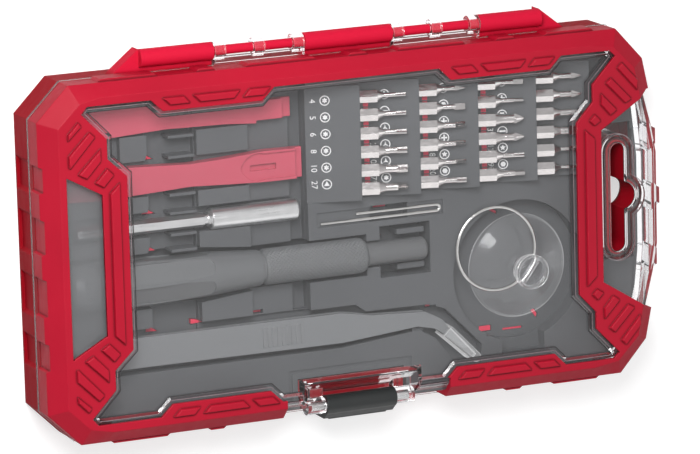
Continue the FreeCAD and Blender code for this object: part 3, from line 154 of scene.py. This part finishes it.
def moulded_plastic(name, colour, roughness=0.42, rounding=0.35, grain=0.003, wear=0.5,
                    mottling=0.06, specular=0.3, hinge_painted_light=None, crevice_shade=0.0):
    """Moulded plastic: fine grain, soft mottling, paler edges (part rubbed wear, part painted
    highlight) and painted shade in hollows.
    """
    shader = Shader(name)
    rounded = shader.rounded_normal(rounding * MM)
    edge = shader.edges(rounded)
    grain_height = shader.noise(1500.0, 3.0)
    flow = shader.noise(34.0, 4.0, stretch=(0.5, 1.0, 1.0))
    scuff = shader.noise(420.0, 5.0, stretch=(1.0, 0.25, 1.0), roughness=0.65)
    body = shader.tint(shader.ramp(flow, 0.35, 0.65), shade(colour, 1.0 - mottling),
                       shade(colour, 1.0 + mottling))
    # Painted light: a lighter red on the hinge barrels, standing for the light they catch.
    if hinge_painted_light:
        place = shader.add("SeparateXYZ", {0: shader.add("TexCoord").outputs["Object"]}).outputs
        hinge_light_share = shader.ramp(place["Y"], *HINGE_FADE)
        body = shader.tint(hinge_light_share, body, shade(hinge_painted_light, 1.0))
    # Paler edges: partly rubbed wear, partly a painted highlight along the rounded edges.
    worn_and_highlit = shader.math("MULTIPLY", edge, shader.ramp(scuff, 0.38, 0.62, wear * 0.4, wear))
    body = shader.tint(worn_and_highlit, body, shade([c + 0.02 for c in colour], 1.45))
    # Painted shade: the colour darkens where ambient occlusion finds surfaces close by, as at
    # the feet of raised pads.
    if crevice_shade:
        open_sky = shader.add("AmbientOcclusion", {"Distance": CREVICE_REACH},
                              samples=CREVICE_SAMPLES, only_local=True).outputs["AO"]
        sunk = shader.math("MULTIPLY", shader.ramp(open_sky, 0.76, 0.97, 1.0, 0.0), crevice_shade)
        body = shader.tint(sunk, body, shade(colour, 0.3))
    gloss = shader.ramp(scuff, 0.3, 0.7, roughness - 0.06, roughness + 0.07)
    surface = shader.add("BsdfPrincipled", {
        "Base Color": body, "Roughness": gloss, "Specular IOR Level": specular,
        "Normal": shader.bump(grain_height, grain * MM, rounded)})
    return shader.finish(surface.outputs[0])


def let_light_pass(shader, seen, tint):
    """Surface as seen, but light for other pieces goes straight through it.

    Reflections that start inside the clear plastic itself still bounce about in it.
    """
    path = shader.add("LightPath").outputs
    inside = shader.add("NewGeometry").outputs["Backfacing"]
    outside = shader.math("MAXIMUM", shader.math("SUBTRACT", 1.0, inside),
                          path["Transparent Depth"], clamp=True)
    reflected = shader.math("SUBTRACT", path["Is Glossy Ray"], path["Is Transmission Ray"],
                            clamp=True)
    mirrored = shader.math("MULTIPLY", reflected, outside)
    soft = shader.math("MAXIMUM", path["Is Shadow Ray"], path["Is Diffuse Ray"])
    passing = shader.math("MAXIMUM", soft, mirrored)
    through = shader.add("BsdfTransparent", {"Color": tint}).outputs[0]
    return shader.blend(passing, seen, through)


def clear_plastic(name, tint, edge_veil, haze=0.011, slant_glow=0.0, edge_glow=0.0,
                  rounding=0.35, roughness=0.0):
    """Clear moulded plastic: bends the light, has pale edges and a faint cloudy haze.

    The haze, and the extra light on slants and rounded edges, is a weak painted glow, seen
    directly or through other clear pieces. It has no noise and lights nothing else.
    """
    shader = Shader(name)
    edge = shader.edges(shader.rounded_normal(rounding * MM), 0.02, 0.30)
    ripple = shader.bump(shader.noise(55.0, 2.0), RIPPLE_DEPTH)
    smear = shader.noise(30.0, 4.0, roughness=0.6)
    glass = shader.add("BsdfGlass", {"Color": tint, "Roughness": roughness,
                                     "IOR": PLASTIC_IOR, "Normal": ripple}).outputs[0]
    milk = shader.add("BsdfDiffuse", {"Color": MILK_COLOUR}).outputs[0]
    clear = shader.blend(shader.math("MULTIPLY", edge, edge_veil), glass, milk)
    cloud = shader.ramp(smear, 0.3, 0.7, haze * 0.6, haze * 1.4)
    # Painted glow: slants and rounded edges give off extra light that stands for highlights.
    facing = shader.add("LayerWeight", {"Blend": 0.5}).outputs["Facing"]
    slant = shader.math("MULTIPLY", shader.math("POWER", facing, 3.0), slant_glow)
    glow = shader.math("ADD", cloud, slant)
    glow = shader.math("ADD", glow, shader.math("MULTIPLY", edge, edge_glow))
    front = shader.math("SUBTRACT", 1.0, shader.add("NewGeometry").outputs["Backfacing"])
    path = shader.add("LightPath").outputs
    seen_ray = shader.math("MAXIMUM", path["Is Camera Ray"], path["Is Transmission Ray"])
    glow = shader.math("MULTIPLY", glow, shader.math("MULTIPLY", front, seen_ray))
    haze_light = shader.add("Emission", {"Strength": glow}).outputs[0]
    seen = shader.add("AddShader", {0: clear, 1: haze_light}).outputs[0]
    shader.material.cycles.emission_sampling = "NONE"
    return shader.finish(let_light_pass(shader, seen, tint))


def frosted_film(name, colour, share, roughness):
    """Thin frosted film that blurs and greys what lies behind it."""
    shader = Shader(name)
    cloud = shader.noise(60.0, 3.0)
    bent = shader.add("BsdfRefraction", {"Color": (0.95, 0.95, 0.96, 1.0), "IOR": FILM_IOR,
                                         "Roughness": roughness}).outputs[0]
    grey = shader.add("BsdfDiffuse", {"Color": colour}).outputs[0]
    seen = shader.blend(shader.ramp(cloud, 0.3, 0.7, share - 0.05, share + 0.05), bent, grey)
    return shader.finish(let_light_pass(shader, seen, (0.9, 0.9, 0.9, 1.0)))


def plated_metal(name, colour, roughness=0.25, brush=(0.04, 1.0, 1.0), depth=0.0006,
                 rounding=0.12, stain=0.06):
    """Plated or polished steel with fine lines left by machining."""
    shader = Shader(name)
    rounded = shader.rounded_normal(rounding * MM)
    lines = shader.noise(2600.0, 2.0, stretch=brush)
    cloud = shader.noise(260.0, 3.0)
    tone = shader.tint(shader.ramp(cloud, 0.3, 0.7), shade(colour, 1.0 - stain),
                       shade(colour, 1.04))
    rough = shader.ramp(lines, 0.3, 0.7, roughness - 0.07, roughness + 0.08)
    surface = shader.add("BsdfPrincipled", {
        "Base Color": tone, "Metallic": 1.0, "Roughness": rough,
        "Normal": shader.bump(lines, depth * MM, rounded)})
    return shader.finish(surface.outputs[0])


def coated_metal(name, colour, roughness=0.45, rounding=0.2, wear=0.8):
    """Dark coating on steel, rubbed to brighter metal along its edges."""
    shader = Shader(name)
    rounded = shader.rounded_normal(rounding * MM)
    scuff = shader.noise(900.0, 5.0, roughness=0.65)
    rubbed = shader.math("MULTIPLY", shader.edges(rounded, 0.02, 0.3),
                         shader.ramp(scuff, 0.35, 0.6, 0.0, wear))
    tone = shader.tint(rubbed, shade(colour, 1.0), BARE_STEEL)
    surface = shader.add("BsdfPrincipled", {
        "Base Color": tone, "Metallic": shader.math("MULTIPLY", rubbed, 0.8),
        "Roughness": shader.ramp(scuff, 0.3, 0.7, roughness - 0.08, roughness + 0.08),
        "Normal": shader.bump(scuff, SCUFF_DEPTH, rounded)})
    return shader.finish(surface.outputs[0])


def ink_and_painted_line(name, colour):
    """Pad-printed ink, a little uneven in density; also the paint of the painted shadow and
    highlight lines at the pane border.
    """
    shader = Shader(name)
    patch = shader.noise(1500.0, 3.0)
    tone = shader.tint(shader.ramp(patch, 0.35, 0.6), shade(colour, 0.82), shade(colour, 1.0))
    surface = shader.add("BsdfPrincipled", {"Base Color": tone, "Roughness": 0.55})
    return shader.finish(surface.outputs[0])


def build_materials():
    """One finish for each material slot of the record, and those of the added pieces."""
    return {
        # Painted shade and light: base_red is a darker copy of the case's red for its shaded
        # walls, and its hinge part a lighter copy.
        "base_red": moulded_plastic("base_red", (0.285, 0.002, 0.009), 0.55, rounding=0.5,
                                    specular=0.08, hinge_painted_light=(0.56, 0.008, 0.035)),
        "frame_red": moulded_plastic("frame_red", (0.395, 0.005, 0.022), 0.45, rounding=0.5,
                                     wear=0.6, specular=0.2, crevice_shade=0.75),
        # pry_red is partly the tools' own red and partly a painted veil of light from the clear
        # lid above, which makes it lighter and pinker.
        "pry_red": moulded_plastic("pry_red", (0.480, 0.070, 0.108), 0.42, rounding=0.3),
        "tray_charcoal": moulded_plastic("tray_charcoal", (0.086, 0.089, 0.094), 0.55,
                                         rounding=0.25, wear=0.25),
        "lid_clear": clear_plastic("lid_clear", (0.985, 0.985, 0.988, 1.0), 0.30),
        "cup_clear": clear_plastic("cup_clear", (0.97, 0.972, 0.975, 1.0), 0.35, 0.030,
                                   slant_glow=0.45, edge_glow=0.30, rounding=0.5,
                                   roughness=0.10),
        "cover_clear": clear_plastic("cover_clear", (0.96, 0.962, 0.965, 1.0), 0.5, 0.14,
                                     slant_glow=0.3, edge_glow=0.2),
        "latch_black": moulded_plastic("latch_black", (0.020, 0.022, 0.022), 0.33, wear=0.15,
                                       specular=0.5),
        "driver_black": moulded_plastic("driver_black", (0.116, 0.120, 0.124), 0.40,
                                        rounding=0.25, wear=0.35, specular=0.6),
        "nose_black": coated_metal("nose_black", (0.108, 0.110, 0.113), 0.38),
        "tweezer_dark": coated_metal("tweezer_dark", (0.172, 0.177, 0.183), 0.44),
        "extension_steel": plated_metal("extension_steel", (0.86, 0.86, 0.86), 0.34),
        "bit_steel": plated_metal("bit_steel", (0.70, 0.665, 0.655), 0.19, depth=0.0001),
        "wire_steel": plated_metal("wire_steel", (0.80, 0.79, 0.77), 0.18),
        "pin_steel": plated_metal("pin_steel", (0.72, 0.72, 0.72), 0.25),
        "magnet": plated_metal("magnet", (0.55, 0.55, 0.56), 0.35),
        "ink": ink_and_painted_line("ink", (0.80, 0.80, 0.80)),
        # Painted shadow and painted highlight for the lines at the pane border, standing for the
        # shade and the bright rim of its step.
        "pane_shadow": ink_and_painted_line("pane_shadow", (0.035, 0.030, 0.032)),
        "pane_rim_highlight": ink_and_painted_line("pane_rim_highlight", (0.30, 0.22, 0.24)),
        # Painted light: a brighter copy of the case's red for the lugs and rack slots, which sit
        # in shade.
        "slot_red_with_painted_light": moulded_plastic("slot_red_with_painted_light", (0.75, 0.035, 0.085), 0.5, rounding=0.15),
        "film": frosted_film("film", (0.16, 0.165, 0.17, 1.0), 0.40, 0.40),
    }


def dress_cad_nodes(looks):
    """Give every CAD node the finish of its slot."""
    for part in frame["record"]["subparts"]:
        node = frame["nodes"][part["node"]]
        look = looks[part["material_slot"]]
        if not node.material_slots:
            node.data.materials.append(look)
        for place in node.material_slots:
            place.material = look


# ---------------------------------------------------------------- mesh pieces
def join_loops(mesh, first, second):
    """Close the side between two loops of as many corners."""
    for i in range(len(first)):
        j = (i + 1) % len(first)
        mesh.faces.new((first[i], first[j], second[j], second[i]))


def close_prism(mesh, lower, upper):
    """Closed prism between a lower and an upper loop of points."""
    lower = [mesh.verts.new(point) for point in lower]
    upper = [mesh.verts.new(point) for point in upper]
    mesh.faces.new(lower[::-1])
    mesh.faces.new(upper)
    join_loops(mesh, lower, upper)


def mesh_piece(name, mesh, look, body="base", turn_outward=True):
    """Turn a finished bmesh into a flat-shaded piece that rides on a body."""
    if turn_outward:
        bmesh.ops.recalc_face_normals(mesh, faces=mesh.faces)
    data = bpy.data.meshes.new(name)
    mesh.to_mesh(data)
    mesh.free()
    data.materials.append(look)
    for polygon in data.polygons:
        polygon.use_smooth = False
    piece = bpy.data.objects.new(name, data)
    bpy.context.scene.collection.objects.link(piece)
    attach(piece, body)


def wave(value):
    """Triangle wave, 0 at whole numbers and 1 half-way between them."""
    return 1.0 - abs(2.0 * (value % 1.0) - 1.0)


KNURL_START, KNURL_END = -28.2 * MM, 5.8 * MM
KNURL_ROOT, KNURL_DEPTH, KNURL_PITCH = 5.47 * MM, 0.26 * MM, 1.35 * MM
KNURL_STARTS, KNURL_CELLS = 26, 7
# Rings over which the knurl rises at each end, and how steep its diamonds are.
KNURL_FADE, KNURL_SLOPE = 5.0, 1.5


def build_knurl(looks):
    """Diamond-knurled band on the driver's handle."""
    low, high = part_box("driver_handle")
    axis_y, axis_z = (low.y + high.y) / 2, (low.z + high.z) / 2
    around = KNURL_STARTS * KNURL_CELLS
    along = round((KNURL_END - KNURL_START) / KNURL_PITCH * KNURL_CELLS)
    mesh = bmesh.new()
    rings = []
    for i in range(along + 1):
        x = KNURL_START + (KNURL_END - KNURL_START) * i / along
        advance = (x - KNURL_START) / KNURL_PITCH
        fade = min(1.0, i / KNURL_FADE, (along - i) / KNURL_FADE)
        ring = []
        for j in range(around):
            turn = j / around
            left = wave(turn * KNURL_STARTS + advance)
            right = wave(turn * KNURL_STARTS - advance)
            radius = KNURL_ROOT + KNURL_DEPTH * fade * min(1.0, KNURL_SLOPE * min(left, right))
            angle = turn * 2.0 * math.pi
            ring.append(mesh.verts.new((x, axis_y + radius * math.cos(angle),
                                        axis_z + radius * math.sin(angle))))
        rings.append(ring)
    for first, second in zip(rings, rings[1:]):
        join_loops(mesh, first, second)
    mesh.faces.new(rings[0][::-1])
    mesh.faces.new(rings[-1])
    mesh_piece("driver_knurl", mesh, looks["driver_black"])


# ---------------------------------------------------------------- lines in the clear lid
# Levels of the clear pane and of the border round it.
PANE_LEVEL, BORDER_LEVEL = 22.3 * MM, 22.9 * MM
LEVEL_TOLERANCE, WELD_DISTANCE = 0.02 * MM, 0.001 * MM
LEAST_TURN = math.radians(15)


def sharp_edges(node, height):
    """End points of a node's sharp edges that lie level at one height."""
    mesh = bmesh.new()
    mesh.from_mesh(frame["nodes"][node].data)
    bmesh.ops.remove_doubles(mesh, verts=mesh.verts, dist=WELD_DISTANCE)
    found = []
    for edge in mesh.edges:
        first, second = edge.verts[0].co, edge.verts[1].co
        level = max(abs(first.z - height), abs(second.z - height)) < LEVEL_TOLERANCE
        if level and len(edge.link_faces) == 2 and edge.calc_face_angle(0.0) > LEAST_TURN:
            found.append((first.copy(), second.copy()))
    mesh.free()
    return found


def build_edge_line(name, edges, width, thickness, look):
    """Thin level strips laid along edges."""
    mesh = bmesh.new()
    for first, second in edges:
        along = (second - first).normalized()
        aside = Vector((-along.y, along.x, 0.0)) * (width / 2)
        start, end = first - along * (width / 2), second + along * (width / 2)
        rise = Vector((0.0, 0.0, thickness))
        corners = [start - aside, end - aside, end + aside, start + aside]
        close_prism(mesh, corners, [corner + rise for corner in corners])
    mesh_piece(name, mesh, look, "lid", turn_outward=False)


def build_pane_border(looks):
    """Painted shadow line where the sunk pane meets its sloping border, and a painted highlight
    line along the border's rim.
    """
    foot = sharp_edges("lid_window", PANE_LEVEL)
    build_edge_line("pane_shadow_line", foot, 0.32 * MM, 0.06 * MM, looks["pane_shadow"])
    brow = sharp_edges("lid_window", BORDER_LEVEL)
    build_edge_line("rim_highlight_line", brow, 0.16 * MM, 0.05 * MM, looks["pane_rim_highlight"])


# ---------------------------------------------------------------- small red and frosted pieces
def add_column(mesh, outline, low, high):
    """Upright closed prism of an outline in millimetres."""
    lower, upper = ([Vector((x, y, level)) * MM for x, y in outline] for level in (low, high))
    close_prism(mesh, lower, upper)


def rectangle(x_low, y_low, x_high, y_high):
    return [(x_low, y_low), (x_high, y_low), (x_high, y_high), (x_low, y_high)]


# Lugs of the base that reach up into the tray's small windows: outline and top level (mm).
TRAY_LUGS = [
    ([(-66.3, -0.6), (-62.0, -0.6), (-65.7, 1.5)], 7.4),
    ([(-66.3, 11.2), (-62.0, 11.2), (-65.7, 13.3)], 7.4),
    ([(-66.3, 28.4), (-62.0, 28.4), (-65.7, 30.5)], 7.4),
    ([(-66.4, -26.0), (-62.8, -26.0), (-66.4, -23.9)], 8.4),
    ([(-51.3, -25.2), (-41.0, -24.7), (-47.0, -24.5), (-51.3, -23.8)], 8.4),
    (rectangle(-31.4, -24.0, -27.6, -23.2), 8.4),
    (rectangle(29.2, -29.2, 30.8, -28.0), 8.4),
    (rectangle(48.8, -40.0, 52.8, -38.4), 6.7),
    (rectangle(57.2, -40.5, 63.8, -39.9), 6.7),
    ([(66.9, -34.6), (69.1, -37.6), (69.4, -36.4), (68.0, -34.3)], 6.7),
    ([(52.9, -0.4), (55.5, -2.0), (55.8, -1.3), (53.4, 0.2)], 6.7),
    ([(13.2, -4.8), (16.0, -4.8), (13.2, -3.6)], 4.8),
    (rectangle(11.8, 5.15, 16.0, 5.85), 8.8),
]
LUG_FOOT = 1.8


def build_tray_lugs(looks):
    """Red lugs of the base, seen through the tray's small windows."""
    mesh = bmesh.new()
    for outline, top in TRAY_LUGS:
        add_column(mesh, outline, LUG_FOOT, top)
    mesh_piece("tray_lugs", mesh, looks["slot_red_with_painted_light"])


FILM_OUTLINE = rectangle(-95.6, -30.5, -81.5, 30.5)
FILM_LEVEL, FILM_THICKNESS = 20.9, 0.15


def build_window_film(looks):
    """Frosted film under the clear lid at the left window."""
    mesh = bmesh.new()
    add_column(mesh, FILM_OUTLINE, FILM_LEVEL, FILM_LEVEL + FILM_THICKNESS)
    mesh_piece("window_film", mesh, looks["film"], "lid")


# ---------------------------------------------------------------- printed marks on the rack
def ring_outline(radius, count, turn=0.0):
    return [(radius * math.cos(turn + 2 * math.pi * i / count),
             radius * math.sin(turn + 2 * math.pi * i / count)) for i in range(count)]


def star_outline(points, outer, inner):
    corners = []
    for index in range(2 * points):
        radius = outer if index % 2 == 0 else inner
        angle = math.pi / 2 + index * math.pi / points
        corners.append((radius * math.cos(angle), radius * math.sin(angle)))
    return corners


def plus_outline(reach, half):
    return [(reach, -half), (reach, half), (half, half), (half, reach), (-half, reach),
            (-half, half), (-reach, half), (-reach, -half), (-half, -half), (-half, -reach),
            (half, -reach), (half, -half)]


SYMBOLS = {
    "six_lobe": lambda: star_outline(6, 1.0, 0.62),
    "five_lobe": lambda: star_outline(5, 1.05, 0.5),
    "triangle": lambda: ring_outline(1.1, 3, math.pi / 2),
    "cross": lambda: plus_outline(1.05, 0.26),
    "tri_wing": lambda: star_outline(3, 1.15, 0.3),
    "hex": lambda: ring_outline(0.95, 6),
    "square": lambda: ring_outline(1.05, 4, math.pi / 4),
    "flat": lambda: [(-1.1, -0.26), (1.1, -0.26), (1.1, 0.26), (-1.1, 0.26)],
}


# The rack: tilt of its ramps, spacing and start of its columns, level of its valleys (mm).
RACK_TILT, RACK_PITCH, RACK_START, RACK_VALLEY = math.radians(17.0), 20.4, -16.0, 11.3
SLOT_OFFSET, SLOT_HALF_WIDTH, SLOT_HALF_LENGTH = 4.1, 0.8, 0.85
SLOT_COLUMNS, SLOTS_PER_COLUMN = (1, 2, 3), 5
BIT_FIRST_Y, BIT_PITCH = 12.9, 5.9
SYMBOL_OFFSET, LABEL_OFFSET = 9.8, 6.0
SYMBOL_TOP_Y, SYMBOL_PITCH = 42.2, 5.34
RING_OUTER, RING_INNER, RING_CORNERS, SYMBOL_SIZE = 1.6, 1.3, 40, 0.92
LABEL_HEIGHT, INK_LIFT, INK_THICKNESS = 2.7, 0.02, 0.04
NUMBER_WELD = 1e-7
# (drive form, size number) from each column's top row downwards.
MARKS = [
    [("six_lobe", "4"), ("six_lobe", "5"), ("six_lobe", "6"), ("six_lobe", "8"),
     ("six_lobe", "10"), ("triangle", "27")],
    [("cross", "000"), ("flat", "20"), ("tri_wing", "1"), ("tri_wing", "2"),
     ("tri_wing", "0"), ("six_lobe", "7")],
    [("flat", "15"), ("hex", "13"), ("cross", "2"), ("cross", "1"), ("five_lobe", "8"),
     ("hex", "20")],
    [("cross", "00"), ("cross", "0"), ("square", "1"), ("flat", "30"), ("five_lobe", "12"),
     ("hex", "9")],
]


def rack_frame(column, offset_x, y):
    """Matrix that puts a flat mark, drawn in millimetres, on the ramp of one column."""
    x = RACK_START + column * RACK_PITCH + offset_x
    z = RACK_VALLEY + offset_x * math.tan(RACK_TILT) + INK_LIFT
    slope = Matrix.Rotation(-RACK_TILT, 4, "Y")
    return Matrix.Translation(Vector((x, y, z)) * MM) @ slope @ Matrix.Scale(MM, 4)


def add_prism(mesh, outline, place):
    """Closed flat prism of a 2-D outline, from height 0 to the ink's thickness."""
    lower, upper = ([place @ Vector((x, y, height)) for x, y in outline]
                    for height in (0.0, INK_THICKNESS))
    close_prism(mesh, lower, upper)


def add_ring(mesh, place):
    """Flat ring round a drive symbol."""
    loops = []
    for radius, height in ((RING_INNER, 0.0), (RING_OUTER, 0.0),
                           (RING_OUTER, INK_THICKNESS), (RING_INNER, INK_THICKNESS)):
        loops.append([mesh.verts.new(place @ Vector((x, y, height)))
                      for x, y in ring_outline(radius, RING_CORNERS)])
    for first, second in zip(loops, loops[1:] + loops[:1]):
        join_loops(mesh, first, second)


def build_rack_slots(looks):
    """Red slots near the foot of the rack's steps, one between each two bits."""
    mesh = bmesh.new()
    outline = rectangle(-SLOT_HALF_WIDTH, -SLOT_HALF_LENGTH, SLOT_HALF_WIDTH, SLOT_HALF_LENGTH)
    for column in SLOT_COLUMNS:
        for gap in range(SLOTS_PER_COLUMN):
            y = BIT_FIRST_Y + (gap + 0.5) * BIT_PITCH
            add_prism(mesh, outline, rack_frame(column, SLOT_OFFSET, y))
    mesh_piece("rack_slots", mesh, looks["slot_red_with_painted_light"])


def build_drive_symbols(looks):
    """Ringed drive symbols printed beside the bits."""
    mesh = bmesh.new()
    for column, marks in enumerate(MARKS):
        for row, (form, _) in enumerate(marks):
            y = SYMBOL_TOP_Y - row * SYMBOL_PITCH
            place = rack_frame(column, SYMBOL_OFFSET, y)
            add_ring(mesh, place)
            add_prism(mesh, SYMBOLS[form](), place @ Matrix.Scale(SYMBOL_SIZE, 4))
    mesh_piece("drive_symbols", mesh, looks["ink"])


def build_size_numbers(looks):
    """Size numbers printed beside the drive symbols, read from the rear edge downwards."""
    mesh = bmesh.new()
    for column, marks in enumerate(MARKS):
        for row, (_, number) in enumerate(marks):
            text = bpy.data.curves.new("number", "FONT")
            text.body = number
            text.size = LABEL_HEIGHT
            text.align_x, text.align_y = "CENTER", "CENTER"
            text.extrude = INK_THICKNESS / 2
            text.resolution_u = 3
            writing = bpy.data.objects.new("number", text)
            bpy.context.scene.collection.objects.link(writing)
            bpy.context.view_layer.update()
            flat = bpy.data.meshes.new_from_object(writing)
            y = SYMBOL_TOP_Y - row * SYMBOL_PITCH
            turned = Matrix.Rotation(-math.pi / 2, 4, "Z")
            flat.transform(rack_frame(column, LABEL_OFFSET, y) @ turned)
            mesh.from_mesh(flat)
            bpy.data.objects.remove(writing)
            bpy.data.curves.remove(text)
            bpy.data.meshes.remove(flat)
    bmesh.ops.remove_doubles(mesh, verts=mesh.verts, dist=NUMBER_WELD)
    mesh_piece("size_numbers", mesh, looks["ink"], turn_outward=False)


# ---------------------------------------------------------------- stage, light and camera
FLOOR_GLOW, FLOOR_BOUNCE = 0.62, 0.12
FLOOR_REACH, FLOOR_DROP = 3.0, 0.1 * MM
SKY_LOW, SKY_HIGH, SKY_FRONT = 0.16, 0.54, 0.95
# Direction values between which the sky rises from low to high, and its front lights up.
SKY_HEIGHTS, SKY_FRONTS = (-0.1, 0.9), (-0.45, -0.95)


def build_stage():
    """Plain pale floor that the case lies on."""
    floor_mesh = bmesh.new()
    bmesh.ops.create_grid(floor_mesh, x_segments=2, y_segments=2, size=FLOOR_REACH)
    data = bpy.data.meshes.new("floor")
    floor_mesh.to_mesh(data)
    floor_mesh.free()
    floor = bpy.data.objects.new("floor", data)
    floor.location.z = cad_box[0].z - FLOOR_DROP
    bpy.context.scene.collection.objects.link(floor)
    shader = Shader("floor")
    speckle = shader.noise(90.0, 4.0)
    tone = shader.tint(shader.ramp(speckle, 0.3, 0.7), (0.50, 0.50, 0.50, 1.0),
                       (0.52, 0.52, 0.52, 1.0))
    path = shader.add("LightPath").outputs
    seen = shader.math("MAXIMUM", path["Is Camera Ray"], path["Is Transmission Ray"])
    glow = shader.ramp(seen, 0.0, 1.0, FLOOR_BOUNCE, FLOOR_GLOW)
    surface = shader.add("BsdfPrincipled", {
        "Base Color": tone, "Roughness": 0.7, "Specular IOR Level": 0.2,
        "Emission Color": (1.0, 1.0, 1.0, 1.0), "Emission Strength": glow})
    data.materials.append(shader.finish(surface.outputs[0]))


def build_sky():
    """Soft studio surroundings: pale overhead and darker towards the horizon.

    Mirror-like pieces see a brighter low front, and clear ones see white behind them.
    """
    world = bpy.data.worlds.new("studio")
    bpy.context.scene.world = world
    world.use_nodes = True
    nodes, links = world.node_tree.nodes, world.node_tree.links
    nodes.clear()
    place = nodes.new("ShaderNodeTexCoord")
    split = nodes.new("ShaderNodeSeparateXYZ")
    links.new(place.outputs["Generated"], split.inputs[0])
    path = nodes.new("ShaderNodeLightPath")

    def ramp(direction, span, low, high):
        node = nodes.new("ShaderNodeMapRange")
        for name, value in (("From Min", span[0]), ("From Max", span[1]),
                            ("To Min", low), ("To Max", high)):
            node.inputs[name].default_value = value
        links.new(split.outputs[direction], node.inputs["Value"])
        return node

    height = ramp("Z", SKY_HEIGHTS, SKY_LOW, SKY_HIGH)
    front = ramp("Y", SKY_FRONTS, 0.0, SKY_FRONT)
    mirrored = nodes.new("ShaderNodeMath")
    mirrored.operation = "MULTIPLY_ADD"
    links.new(front.outputs[0], mirrored.inputs[0])
    links.new(path.outputs["Is Glossy Ray"], mirrored.inputs[1])
    links.new(height.outputs[0], mirrored.inputs[2])
    brightest = nodes.new("ShaderNodeMath")
    brightest.operation = "MAXIMUM"
    links.new(mirrored.outputs[0], brightest.inputs[0])
    links.new(path.outputs["Is Transmission Ray"], brightest.inputs[1])
    background = nodes.new("ShaderNodeBackground")
    background.inputs["Color"].default_value = (1.0, 1.0, 1.0, 1.0)
    links.new(brightest.outputs[0], background.inputs["Strength"])
    output = nodes.new("ShaderNodeOutputWorld")
    links.new(background.outputs[0], output.inputs[0])


def add_softbox(name, position, size, power):
    """Rectangular lamp aimed at the origin."""
    light = bpy.data.lights.new(name, "AREA")
    light.shape = "RECTANGLE"
    light.size, light.size_y = size
    light.energy = power
    softbox = bpy.data.objects.new(name, light)
    softbox.location = position
    softbox.rotation_euler = (-Vector(position)).to_track_quat("-Z", "Y").to_euler()
    bpy.context.scene.collection.objects.link(softbox)


# Name, place, width and height (metres) and power (watts) of each softbox.
SOFTBOXES = [
    ("key", (-0.22, 0.28, 0.46), (0.26, 0.26), 3.4),
    ("fill", (0.8, -0.2, 0.7), (0.6, 0.6), 1.1),
]


def build_lights():
    for name, position, size, power in SOFTBOXES:
        add_softbox(name, position, size, power)


CAMERA_PLACE = Vector((-613.6, 330.05, 1424.3)) * MM
CAMERA_TARGET = Vector((2.45, 0.37, 12.0)) * MM
CAMERA_ROLL = math.radians(-1.577)
LENS, SENSOR_WIDTH = 257.14, 36.0
CLIP_NEAR, CLIP_FAR = 0.05, 20.0


def build_camera():
    """Long-lens camera above the case, a little behind it and to its left."""
    camera_data = bpy.data.cameras.new("camera")
    camera_data.lens = LENS
    camera_data.sensor_width = SENSOR_WIDTH
    camera_data.clip_start, camera_data.clip_end = CLIP_NEAR, CLIP_FAR
    camera = bpy.data.objects.new("camera", camera_data)
    ahead = (CAMERA_TARGET - CAMERA_PLACE).normalized()
    right = ahead.cross(Vector((0.0, 1.0, 0.0))).normalized()
    above = right.cross(ahead)
    level = Matrix((right, above, -ahead)).transposed().to_4x4()
    roll = Matrix.Rotation(CAMERA_ROLL, 4, "Z")
    camera.matrix_world = Matrix.Translation(CAMERA_PLACE) @ level @ roll
    bpy.context.scene.collection.objects.link(camera)
    bpy.context.scene.camera = camera


# ---------------------------------------------------------------- whole scene
finishes = build_materials()
dress_cad_nodes(finishes)
build_knurl(finishes)
build_pane_border(finishes)
build_tray_lugs(finishes)
build_rack_slots(finishes)
build_window_film(finishes)
build_drive_symbols(finishes)
build_size_numbers(finishes)
build_stage()
build_sky()
build_lights()
build_camera()
bpy.context.scene.view_settings.view_transform = "Standard"
